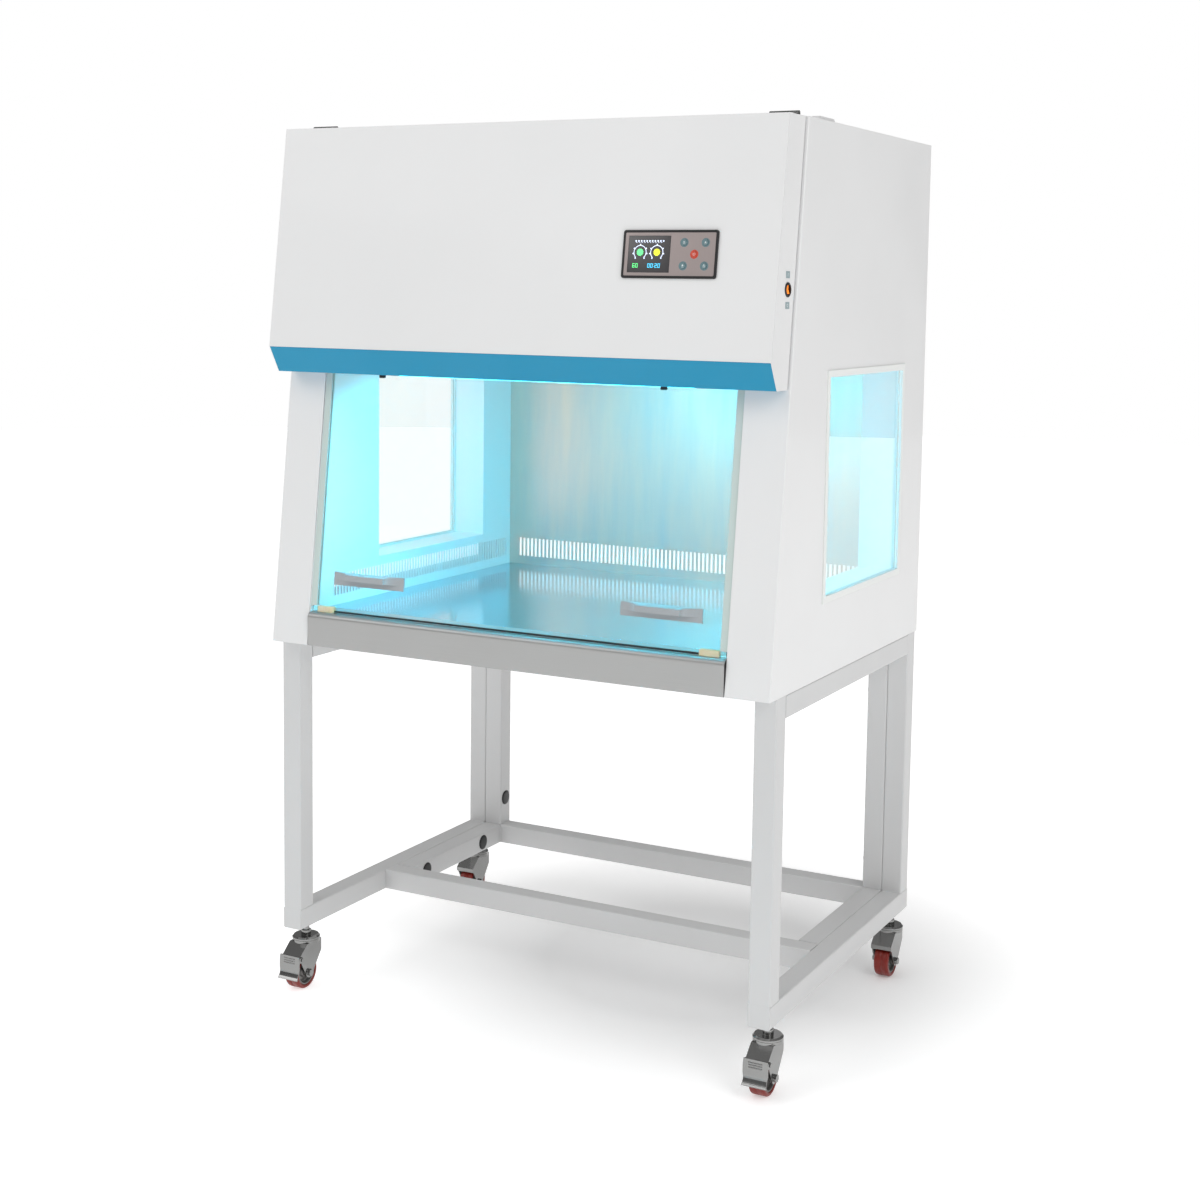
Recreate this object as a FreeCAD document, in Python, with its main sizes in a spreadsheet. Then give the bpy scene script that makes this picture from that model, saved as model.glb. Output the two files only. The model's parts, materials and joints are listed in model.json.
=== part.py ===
import FreeCAD, Part
import math
import os
from types import SimpleNamespace

import Sketcher

# Vertical laminar flow cabinet on a wheeled stand.
# X points right, Y back and Z up. The origin is on the floor, under the middle of the whole box.
# Every size is in millimetres and sits in the document's sheet, from which all pieces take it.

SIZES = {
    # Stand: welded square tube
    "stand_width": 1000,
    "stand_front": 335,
    "stand_back": 367,
    "rail_low": 122,
    "tube": 40,
    "tube_wall": 2,
    "tube_corner": 3,
    "member_front": 55,
    # Bolts between the side frames and the cross frame, and the plugs over them
    "bolt_radius": 4,
    "bolt_head_radius": 6.5,
    "bolt_head": 8,
    "bolt_nut_radius": 7.5,
    "bolt_nut": 6,
    "bolt_slack": 0.3,
    "plug_head_radius": 10.5,
    "plug_head": 1.5,
    "plug_shank_radius": 7.5,
    "plug_shank": 6,
    "bolt_low_z": 219,
    "bolt_high_z": 560,
    "bolt_rail_back": 254,
    "bolt_rail_front": 35,
    # Casters
    "caster_inset": 43,
    "wheel_radius": 32,
    "wheel_width": 29,
    "tread_depth": 7,
    "tread_round": 3.5,
    "trail": 17,
    "axle_radius": 4,
    "axle_head_radius": 6.5,
    "axle_head": 5,
    "running_gap": 0.06,
    "fork_width": 41,
    "fork_sheet": 2.5,
    "crown_z": 89,
    "crown_front": 24,
    "crown_rear": 20,
    "fork_knee_z": 66,
    "boss_radius": 10,
    "nose_out": 48,
    "nose_z": 63,
    "nose_radius": 5,
    "dish_radius": 26,
    "dish": 3.5,
    "race_gap": 0.5,
    "disc_radius": 26.5,
    "disc": 6,
    "stem_radius": 6,
    "stem_nut_radius": 9.5,
    "stem_nut": 9,
    "kingpin_radius": 5,
    "kingpin_head_radius": 8,
    "kingpin_head": 4,
    "pedal_pin_out": 42,
    "pedal_pin_z": 64,
    "pedal_pin_radius": 2.5,
    "pedal_sheet": 2,
    "pedal_gap": 0.3,
    "pedal_out": 52.5,
    "pedal_top_z": 72,
    "pedal_knee_z": 40,
    "pedal_low_z": 20,
    "pedal_flare": 8,
    "pedal_foot_width": 50,
    "rib_pitch": 4.5,
    # Cabinet shell
    "body_width": 1000,
    "cabinet_z": 680,
    "top_z": 1621,
    "front_low": 366,
    "front_high": 255.5,
    "back": 375.5,
    "sheet": 1.5,
    "inner_sheet": 1.2,
    "column": 80,
    "fold_radius": 2.5,
    "fit": 0.3,
    "roof_flange": 20,
    # Windows
    "window": 383,
    "window_y": 54,
    "window_z": 1008,
    "pane": 4.6,
    "pane_inset": 4,
    "seal_lip": 8,
    "seal_bite": 4,
    "seal_proud": 2,
    # Chamber
    "bar_top_z": 742,
    "bar_round": 10,
    "bar_depth": 64,
    "tray_flange": 26,
    "ledge": 15,
    "inner_back": 356,
    "slot_width": 4.5,
    "slot_height": 39,
    "slot_pitch": 9.5,
    "slot_low_z": 760,
    "slot_margin": 25,
    # Filter, blower and lamps
    "cover_behind": 16,
    "cover_low_z": 1200,
    "cover_return": 25,
    "ceiling_z": 1205,
    "rail_width": 22,
    "rail_height": 32,
    "rail_sheet": 2,
    "hepa_width": 820,
    "hepa_depth": 610,
    "hepa_height": 69,
    "hepa_frame": 20,
    "hepa_recess": 3,
    "skirt": 15,
    "blower_y": 40,
    "scroll_radius": 125,
    "scroll_step": 10,
    "scroll_throat": 128,
    "scroll_width": 180,
    "inlet_radius": 70,
    "fan_radius": 85,
    "fan_eye": 66,
    "fan_width": 160,
    "fan_blades": 20,
    "shaft_radius": 6,
    "motor_radius": 45,
    "pre_filter_width": 400,
    "pre_filter_depth": 280,
    "pre_filter_height": 20,
    "vent_width": 6,
    "vent_pitch": 14,
    "lamp_radius": 13,
    "lamp_length": 600,
    "lamp_z": 1186,
    "uv_lamp_y": 238,
    "led_lamp_y": 196,
    "holder": 18,
    # Sash
    "glass": 5,
    "glass_behind": 5,
    "glass_low_z": 744.6,
    "glass_high_z": 1221,
    "track_wall": 2,
    "track_depth": 13,
    "track_play": 0.5,
    "track_low_z": 753,
    "track_high_z": 1600,
    "handle_x": 294.5,
    "handle_z": 805,
    "handle_width": 152,
    "handle_height": 24,
    "handle_out": 20,
    "handle_sheet": 3,
    "grip_width": 88,
    "pad_x": 386,
    "pad_width": 36,
    "pad_high_z": 753,
    # Front panel
    "panel_width": 989,
    "panel_sheet": 1.2,
    "panel_gap": 2,
    "crown_out": 324.6,
    "lip_out": 377.5,
    "lip_z": 1226.6,
    "trim_out": 351,
    "trim_low_z": 1180.9,
    "joggle": 12,
    "stop_x": 281.5,
    "stop_out": 325,
    "stop_radius": 6,
    "stop_height": 6.5,
    "hinge_x": 457,
    "hinge_width": 51,
    "hinge_pin_z": 5,
    "hinge_pin_radius": 2,
    "knuckle_radius": 4.5,
    "leaf": 1.5,
    "leaf_depth": 24,
    "strip_x": 483,
    "strip_y": 151,
    "strip_length": 78,
    "strip_width": 14,
    "strip_height": 7,
    # Controls
    "control_x": 302.9,
    "control_z": 1396.5,
    "bezel_width": 171,
    "bezel_height": 79,
    "bezel": 3,
    "bezel_border": 4,
    "housing_depth": 35,
    "housing_wall": 2,
    "fascia": 1.3,
    "display_x": 37,
    "display_width": 76,
    "display_height": 60,
    "button_x": 44.7,
    "button_pitch": 19,
    "button_radius": 4.7,
    "button_proud": 1.2,
    "board_depth": 8,
    "switch_y": 317.6,
    "switch_z": 1342,
    "switch_radius": 12,
    "barrel_radius": 10,
    "well_radius": 8.6,
    "rocker_tilt": 8,
    "rocker_width": 7.6,
    "inlet_x": 330,
    "inlet_z": 1440,
    "inlet_width": 27,
    "inlet_height": 20,
    "inlet_ear": 11.5,
    "inlet_flange": 2,
    "inlet_depth": 24,
}


class Size:
    """A size with its value and the expression that ties it to the sheet."""

    def __init__(self, value, text=None):
        self.value = float(value)
        self.text = text or f"({self.value!r})"

    def __add__(self, other):
        other = as_size(other)
        return Size(self.value + other.value, f"({self.text} + {other.text})")

    def __sub__(self, other):
        other = as_size(other)
        return Size(self.value - other.value, f"({self.text} - {other.text})")

    def __mul__(self, other):
        other = as_size(other)
        return Size(self.value * other.value, f"({self.text} * {other.text})")

    def __truediv__(self, other):
        other = as_size(other)
        return Size(self.value / other.value, f"({self.text} / {other.text})")

    def __neg__(self):
        return Size(-self.value, f"(-1 * {self.text})")

    def __radd__(self, other):
        return as_size(other) + self

    def __rsub__(self, other):
        return as_size(other) - self

    def __rmul__(self, other):
        return as_size(other) * self

    def __rtruediv__(self, other):
        return as_size(other) / self


def as_size(value):
    return value if isinstance(value, Size) else Size(value)


def root(size):
    return Size(math.sqrt(size.value), f"sqrt({size.text})")


def whole(size):
    return Size(math.floor(size.value), f"floor({size.text})")


def angle_of(slope):
    return Size(math.degrees(math.atan(slope.value)), f"atan({slope.text})")


doc = FreeCAD.newDocument("laminar_flow_cabinet")
sheet_object = doc.addObject("Spreadsheet::Sheet", "Sizes")
for row_number, (size_name, size_value) in enumerate(SIZES.items(), start=1):
    sheet_object.set(f"A{row_number}", size_name)
    sheet_object.set(f"B{row_number}", str(size_value))
    sheet_object.setAlias(f"B{row_number}", size_name)
doc.recompute()
S = SimpleNamespace(**{name: Size(value, f"Sizes.{name}") for name, value in SIZES.items()})

NODES = {}


def keep(label, piece):
    """Name a finished sub-part, which makes it one of the written files."""
    piece.Label = label
    NODES[label] = piece
    return piece


def place(piece, at, tilt=None, axis=(1, 0, 0)):
    """Put a piece at a point, turned by tilt degrees about an axis."""
    if tilt is not None:
        turn_axis = FreeCAD.Vector(*axis)
        piece.Placement = FreeCAD.Placement(FreeCAD.Vector(), FreeCAD.Rotation(turn_axis, tilt.value))
        piece.setExpression("Placement.Rotation.Angle", tilt.text)
    for letter, value in zip("xyz", at):
        piece.setExpression(f"Placement.Base.{letter}", as_size(value).text)
    return piece


def new_body(name, at=None, tilt=None, axis=(1, 0, 0)):
    piece = doc.addObject("PartDesign::Body", name)
    if at is not None:
        place(piece, at, tilt, axis)
    return piece


def bind(sketch, size, kind, *where):
    """Add one dimension to a sketch and tie it to the sheet."""
    index = sketch.addConstraint(Sketcher.Constraint(kind, *where, size.value))
    name = f"size{index}"
    sketch.renameConstraint(index, name)
    sketch.setExpression(f"Constraints.{name}", size.text)


def arc_through(start, end, radius):
    """Arc of less than half a turn; its centre is left of the way from start to end if radius > 0."""
    middle = (start + end) * 0.5
    half = (end - start) * 0.5
    rise = math.sqrt(max(radius * radius - half.Length * half.Length, 0.0))
    left = FreeCAD.Vector(-half.y, half.x, 0)
    left.normalize()
    centre = middle + left * (rise if radius > 0 else -rise)
    first, last = (start, end) if radius > 0 else (end, start)
    circle = Part.Circle(centre, FreeCAD.Vector(0, 0, 1), abs(radius))
    return Part.ArcOfCircle(circle, circle.parameter(first), circle.parameter(last))


def draw_outline(sketch, corners):
    """Closed outline through corners (u, v); a corner (u, v, r) starts an arc of radius r."""
    corners = [tuple(as_size(number) for number in corner) for corner in corners]
    points = [FreeCAD.Vector(corner[0].value, corner[1].value, 0) for corner in corners]
    sides = []
    for number, corner in enumerate(corners):
        start = points[number]
        end = points[(number + 1) % len(points)]
        if len(corner) == 2:
            sides.append((sketch.addGeometry(Part.LineSegment(start, end), False), 1, 2))
        else:
            arc = sketch.addGeometry(arc_through(start, end, corner[2].value), False)
            sides.append((arc, 1, 2) if corner[2].value > 0 else (arc, 2, 1))
    for number, (side, head, tail) in enumerate(sides):
        following, next_head, next_tail = sides[(number + 1) % len(sides)]
        sketch.addConstraint(Sketcher.Constraint("Coincident", side, tail, following, next_head))
    for (side, head, tail), corner in zip(sides, corners):
        bind(sketch, corner[0], "DistanceX", -1, 1, side, head)
        bind(sketch, corner[1], "DistanceY", -1, 1, side, head)
        if len(corner) == 3:
            radius = corner[2] if corner[2].value > 0 else -corner[2]
            bind(sketch, radius, "Radius", side)


def draw_circle(sketch, u, v, radius):
    u, v, radius = as_size(u), as_size(v), as_size(radius)
    centre = FreeCAD.Vector(u.value, v.value, 0)
    circle = sketch.addGeometry(Part.Circle(centre, FreeCAD.Vector(0, 0, 1), radius.value), False)
    bind(sketch, u, "DistanceX", -1, 1, circle, 3)
    bind(sketch, v, "DistanceY", -1, 1, circle, 3)
    bind(sketch, radius, "Radius", circle)


def block(u_low, v_low, u_high, v_high):
    """Corners of a rectangle."""
    return [(u_low, v_low), (u_high, v_low), (u_high, v_high), (u_low, v_high)]


def rounded(u_low, v_low, u_high, v_high, radius):
    """Corners of a rectangle with round corners."""
    return [
        (u_low + radius, v_low),
        (u_high - radius, v_low, radius),
        (u_high, v_low + radius),
        (u_high, v_high - radius, radius),
        (u_high - radius, v_high),
        (u_low + radius, v_high, radius),
        (u_low, v_high - radius),
        (u_low, v_low + radius, radius),
    ]


def ring(u, v, radius):
    """A circle, as an outline."""
    return {"u": u, "v": v, "radius": radius}


def origin_feature(piece, role):
    return next(feature for feature in piece.Origin.OriginFeatures if feature.Role == role)


def draw(piece, plane, offset, outlines):
    """Sketch outlines on one of the piece's own planes, moved along its normal by offset."""
    sketch = piece.newObject("Sketcher::SketchObject", piece.Name + "_outline")
    sketch.AttachmentSupport = [(origin_feature(piece, plane + "_Plane"), "")]
    sketch.MapMode = "FlatFace"
    sketch.setExpression("AttachmentOffset.Base.z", as_size(offset).text)
    for outline in outlines:
        if isinstance(outline, dict):
            draw_circle(sketch, **outline)
        else:
            draw_outline(sketch, outline)
    return sketch


def add(piece, plane, outlines, low, high):
    """Add the outlines' area between two coordinates on the plane's own axis."""
    low, high = as_size(low), as_size(high)
    pad = piece.newObject("PartDesign::Pad", piece.Name + "_pad")
    pad.Profile = draw(piece, plane, -high if plane == "XZ" else low, outlines)
    pad.setExpression("Length", (high - low).text)
    doc.recompute()
    return pad


def cut(piece, plane, outlines, low, high):
    """Cut the outlines' area away between two coordinates on the plane's own axis."""
    low, high = as_size(low), as_size(high)
    before = piece.Shape.Volume
    pocket = piece.newObject("PartDesign::Pocket", piece.Name + "_pocket")
    pocket.Profile = draw(piece, plane, -low if plane == "XZ" else high, outlines)
    pocket.setExpression("Length", (high - low).text)
    doc.recompute()
    if piece.Shape.Volume >= before:
        raise RuntimeError(f"a cut in {piece.Name} takes nothing away")
    return pocket


def turn(piece, outline, axis="V_Axis"):
    """Turn an outline in the XZ plane about the plane's own vertical or horizontal axis."""
    revolution = piece.newObject("PartDesign::Revolution", piece.Name + "_turn")
    sketch = draw(piece, "XZ", 0, [outline])
    revolution.Profile = sketch
    revolution.ReferenceAxis = (sketch, [axis])
    revolution.Angle = 360
    doc.recompute()
    return revolution


def repeat(piece, feature, axis, pitch, count):
    """Repeat a feature along one of the piece's own axes."""
    pattern = piece.newObject("PartDesign::LinearPattern", piece.Name + "_row")
    pattern.Originals = [feature]
    pattern.Direction = (origin_feature(piece, axis + "_Axis"), [""])
    pattern.Mode = "Spacing"
    pattern.setExpression("Offset", pitch.text)
    pattern.setExpression("Occurrences", count.text)
    piece.Tip = pattern
    doc.recompute()
    return pattern


def repeat_round(piece, feature, axis, count):
    """Repeat a feature round one of the piece's own axes."""
    pattern = piece.newObject("PartDesign::PolarPattern", piece.Name + "_round")
    pattern.Originals = [feature]
    pattern.Axis = (origin_feature(piece, axis + "_Axis"), [""])
    pattern.Angle = 360
    pattern.setExpression("Occurrences", as_size(count).text)
    piece.Tip = pattern
    doc.recompute()
    return pattern


def round_edges(piece, radius, wanted):
    """Round the edges of a piece's last feature that the test picks."""
    base = piece.Tip
    names = [f"Edge{number}" for number, edge in enumerate(base.Shape.Edges, start=1) if wanted(edge)]
    fillet = piece.newObject("PartDesign::Fillet", piece.Name + "_fillet")
    fillet.Base = (base, names)
    fillet.setExpression("Radius", radius.text)
    doc.recompute()
    return fillet


def box(name, low, high):
    """Plain box between two corners."""
    low = [as_size(number) for number in low]
    high = [as_size(number) for number in high]
    piece = doc.addObject("Part::Box", name)
    for side, start, end in zip(("Length", "Width", "Height"), low, high):
        piece.setExpression(side, (end - start).text)
    place(piece, low)
    doc.recompute()
    return piece


def rod(name, centre, radius, length):
    """Cylinder along X, from its low end's centre."""
    piece = doc.addObject("Part::Cylinder", name)
    piece.setExpression("Radius", as_size(radius).text)
    piece.setExpression("Height", as_size(length).text)
    piece.Placement = FreeCAD.Placement(
        FreeCAD.Vector(), FreeCAD.Rotation(FreeCAD.Vector(0, 1, 0), 90)
    )
    for letter, value in zip("xyz", centre):
        piece.setExpression(f"Placement.Base.{letter}", as_size(value).text)
    doc.recompute()
    return piece


def join(name, pieces):
    fuse = doc.addObject("Part::MultiFuse", name)
    fuse.Shapes = pieces
    fuse.Refine = True
    doc.recompute()
    return fuse


def group(name, pieces):
    """Several separate solids kept in one sub-part."""
    compound = doc.addObject("Part::Compound", name)
    compound.Links = pieces
    doc.recompute()
    return compound


def take(name, base, tool):
    result = doc.addObject("Part::Cut", name)
    result.Base = base
    result.Tool = tool
    doc.recompute()
    return result


def both(sign, near, far):
    """Two X coordinates on one side of the middle, lowest first."""
    near, far = as_size(near), as_size(far)
    return (near, far) if sign > 0 else (-far, -near)


SIDES = {"left": -1, "right": 1}
half_stand = S.stand_width / 2
half_body = S.body_width / 2
chamber_half = half_body - S.column
wall_face = chamber_half - S.inner_sheet

# The cabinet's sloping front, from the foot of the side panels to the roof
front_slope = (S.front_low - S.front_high) / (S.top_z - S.cabinet_z)
front_lean = angle_of(front_slope)
front_stretch = root(1 + front_slope * front_slope)

# The front panel's skin, from its lip to the roof
skin_slope = (S.lip_out - S.crown_out) / (S.top_z - S.lip_z)
skin_lean = angle_of(skin_slope)
skin_stretch = root(1 + skin_slope * skin_slope)


def front_y(z, behind=0):
    """Y of the sloping front at a height, or of a plane that lies behind it."""
    return (z - S.cabinet_z) * front_slope - S.front_low + behind * front_stretch


def skin_y(z, behind=0):
    """Y of the front panel's skin at a height, or of a plane that lies behind it."""
    return (z - S.lip_z) * skin_slope - S.lip_out + behind * skin_stretch


def front_sheet(low_z, high_z, near, far):
    """Outline in the YZ plane of a sheet that follows the sloping front."""
    return [
        (front_y(low_z, near), low_z),
        (front_y(low_z, far), low_z),
        (front_y(high_z, far), high_z),
        (front_y(high_z, near), high_z),
    ]


# Stand

bolt_places = [
    (S.stand_back - S.tube / 2, S.bolt_low_z),
    (S.stand_back - S.tube / 2, S.bolt_high_z),
    (S.bolt_rail_back, S.rail_low + S.tube / 2),
    (S.bolt_rail_front, S.rail_low + S.tube / 2),
]


def tube_member(name, low, high, along, capped=False):
    """Square tube between two corners, with its long edges rounded, and the void inside it."""
    outer = box(name, low, high)
    rounding = doc.addObject("Part::Fillet", name + "_rounded")
    rounding.Base = outer
    radius = S.tube_corner.value
    rounding.Edges = [
        (number, radius, radius)
        for number, edge in enumerate(outer.Shape.Edges, start=1)
        if abs(edge.tangentAt(edge.FirstParameter)["XYZ".index(along)]) > 0.9
    ]
    walls = [0 if axis == along and not capped else S.tube_wall for axis in "XYZ"]
    void_low = [as_size(corner) + wall for corner, wall in zip(low, walls)]
    void_high = [as_size(corner) - wall for corner, wall in zip(high, walls)]
    doc.recompute()
    return rounding, box(name + "_void", void_low, void_high)


def drilled(member, holes):
    """One tube with its own holes, each of which crosses its wall."""
    outer, void = member
    tool = join(void.Name + "_and_holes", [void] + holes) if holes else void
    return take(outer.Name + "_tube", outer, tool)


def side_frame(side, sign):
    """Two legs and two rails, welded end to face; the bottom rail has capped ends."""
    low_x, high_x = both(sign, half_stand - S.tube, half_stand)
    rail_top = S.rail_low + S.tube
    bottom = tube_member(f"{side}_bottom_rail", (low_x, -S.stand_front, S.rail_low),
                         (high_x, S.stand_back, rail_top), "Y", capped=True)
    top = tube_member(f"{side}_top_rail", (low_x, S.tube - S.stand_front, S.cabinet_z - S.tube),
                      (high_x, S.stand_back - S.tube, S.cabinet_z), "Y")
    front = tube_member(f"{side}_front_leg", (low_x, -S.stand_front, rail_top),
                        (high_x, S.tube - S.stand_front, S.cabinet_z), "Z")
    rear = tube_member(f"{side}_rear_leg", (low_x, S.stand_back - S.tube, rail_top),
                       (high_x, S.stand_back, S.cabinet_z), "Z")
    holes = {"leg": [], "rail": []}
    reach = 2 * S.tube_wall
    for number, (y, z) in enumerate(bolt_places):
        start = both(sign, half_stand - S.tube - S.tube_wall / 2, half_stand - S.tube + reach)[0]
        hole = rod(f"{side}_bolt_hole{number}", (start, y, z), S.bolt_radius + S.bolt_slack,
                   reach + S.tube_wall / 2)
        holes[bolted_to(number)].append(hole)
    for number, y in enumerate(caster_rows()):
        hole = doc.addObject("Part::Cylinder", f"{side}_stem_hole{number}")
        hole.setExpression("Radius", (S.stem_radius + S.fit).text)
        hole.setExpression("Height", (2 * S.tube_wall).text)
        place(hole, (sign * (half_stand - S.tube / 2), y, S.rail_low - S.tube_wall / 2))
        holes["rail"].append(hole)
    name = f"side_frame_{side}"
    tubes = [drilled(bottom, holes["rail"]), drilled(rear, holes["leg"])]
    return keep(name, group(name, tubes + [drilled(top, []), drilled(front, [])]))


def caster_rows():
    return [S.caster_inset - S.stand_front, S.stand_back - S.caster_inset]


def bolted_to(number):
    """Whether a bolt goes through an upright or a low rail."""
    return "leg" if number < 2 else "rail"


def cross_frame():
    """Low rectangle and rear portal between the side frames, welded end to face."""
    inner_x = half_stand - S.tube
    rail_x = inner_x - S.tube
    low_z = S.rail_low
    front_y0 = -S.member_front
    rear_y = S.stand_back - S.tube
    members = [
        tube_member("front_member", (-inner_x, front_y0, low_z),
                    (inner_x, front_y0 + S.tube, low_z + S.tube), "X"),
        tube_member("rear_member", (-inner_x, rear_y, low_z),
                    (inner_x, rear_y + S.tube, low_z + S.tube), "X"),
        tube_member("top_member", (-rail_x, rear_y, S.cabinet_z - S.tube),
                    (rail_x, rear_y + S.tube, S.cabinet_z), "X"),
    ]
    tubes = [drilled(member, []) for member in members]
    for side, sign in SIDES.items():
        low_x, high_x = both(sign, rail_x, inner_x)
        holes = {"leg": [], "rail": []}
        for number, (y, z) in enumerate(bolt_places):
            near = both(sign, rail_x - S.tube_wall, rail_x + 2 * S.tube_wall)[0]
            far = both(sign, inner_x - 2 * S.tube_wall, inner_x + S.tube_wall)[0]
            holes[bolted_to(number)].extend([
                rod(f"{side}_plug_hole{number}", (near, y, z), S.plug_shank_radius + S.fit,
                    3 * S.tube_wall),
                rod(f"{side}_shank_hole{number}", (far, y, z), S.bolt_radius + S.bolt_slack,
                    3 * S.tube_wall),
            ])
        rail = tube_member(f"{side}_rail", (low_x, front_y0 + S.tube, low_z),
                           (high_x, rear_y, low_z + S.tube), "Y")
        upright = tube_member(f"{side}_upright", (low_x, rear_y, low_z + S.tube),
                              (high_x, rear_y + S.tube, S.cabinet_z), "Z")
        tubes += [drilled(rail, holes["rail"]), drilled(upright, holes["leg"])]
    return keep("cross_frame", group("cross_frame", tubes))


def frame_bolts():
    """Bolts from inside the cross frame into nuts inside the side frames."""
    bolts = []
    for side, sign in SIDES.items():
        seat = half_stand - S.tube - S.tube_wall
        nut = half_stand - S.tube + S.tube_wall
        for number, (y, z) in enumerate(bolt_places):
            bolt = new_body(f"{side}_bolt{number}", (0, y, z))
            x = [sign * place_x for place_x in (seat - S.bolt_head, seat, nut, nut + S.bolt_nut)]
            turn(bolt, [
                (x[0], 0),
                (x[0], S.bolt_head_radius),
                (x[1], S.bolt_head_radius),
                (x[1], S.bolt_radius),
                (x[2], S.bolt_radius),
                (x[2], S.bolt_nut_radius),
                (x[3], S.bolt_nut_radius),
                (x[3], 0),
            ], "H_Axis")
            bolts.append(bolt)
    return keep("frame_bolts", group("frame_bolts", bolts))


def bolt_plugs():
    """Domed plugs in the access holes of the cross frame."""
    plugs = []
    face = half_stand - 2 * S.tube
    for side, sign in SIDES.items():
        for number, (y, z) in enumerate(bolt_places):
            plug = new_body(f"{side}_plug{number}", (0, y, z))
            outer = sign * (face - S.plug_head)
            seat = sign * face
            end = sign * (face + S.plug_shank)
            turn(plug, [
                (outer, 0),
                (outer, S.plug_head_radius - S.plug_head),
                (seat, S.plug_head_radius),
                (seat, S.plug_shank_radius),
                (end, S.plug_shank_radius),
                (end, 0),
            ], "H_Axis")
            plugs.append(plug)
    return keep("bolt_plugs", group("bolt_plugs", plugs))


# Casters: each is drawn about its own swivel axis, on the floor, with the wheel to the front

CASTERS = {
    "fl": (-1, 0),
    "fr": (1, 0),
    "rl": (-1, 1),
    "rr": (1, 1),
}


def caster_at(corner, y=0, z=0):
    sign, row = CASTERS[corner]
    return (sign * (half_stand - S.tube / 2), caster_rows()[row] + y, z)


def caster_stems():
    """Top disc, threaded stem, nuts and kingpin of each caster."""
    disc_low = S.crown_z + S.dish + S.race_gap
    disc_high = disc_low + S.disc
    pin_low = S.crown_z - S.fork_sheet - S.fit - S.kingpin_head
    inside = S.rail_low + S.tube_wall
    stems = []
    for corner in CASTERS:
        stem = new_body(f"stem_{corner}", caster_at(corner))
        turn(stem, [
            (0, pin_low),
            (S.kingpin_head_radius, pin_low),
            (S.kingpin_head_radius, pin_low + S.kingpin_head),
            (S.kingpin_radius, pin_low + S.kingpin_head),
            (S.kingpin_radius, disc_low),
            (S.disc_radius, disc_low),
            (S.disc_radius, disc_low + S.disc / 2),
            (S.disc_radius - S.disc / 2, disc_high),
            (S.stem_nut_radius, disc_high),
            (S.stem_nut_radius, disc_high + S.stem_nut),
            (S.stem_radius, disc_high + S.stem_nut),
            (S.stem_radius, inside),
            (S.stem_nut_radius, inside),
            (S.stem_nut_radius, inside + S.stem_nut),
            (0, inside + S.stem_nut),
        ])
        stems.append(stem)
    return keep("caster_stems", group("caster_stems", stems))


def tangent_foot(y, z, side):
    """Where a line from a point touches the axle boss, on its rear (1) or front (-1) side."""
    run = y + S.trail
    rise = z - S.wheel_radius
    reach = root(run * run + rise * rise)
    along = S.boss_radius * S.boss_radius / (reach * reach)
    across = S.boss_radius * root(reach * reach - S.boss_radius * S.boss_radius) / (reach * reach)
    foot_y = run * along + side * rise * across - S.trail
    foot_z = rise * along - side * run * across + S.wheel_radius
    return foot_y, foot_z


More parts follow.
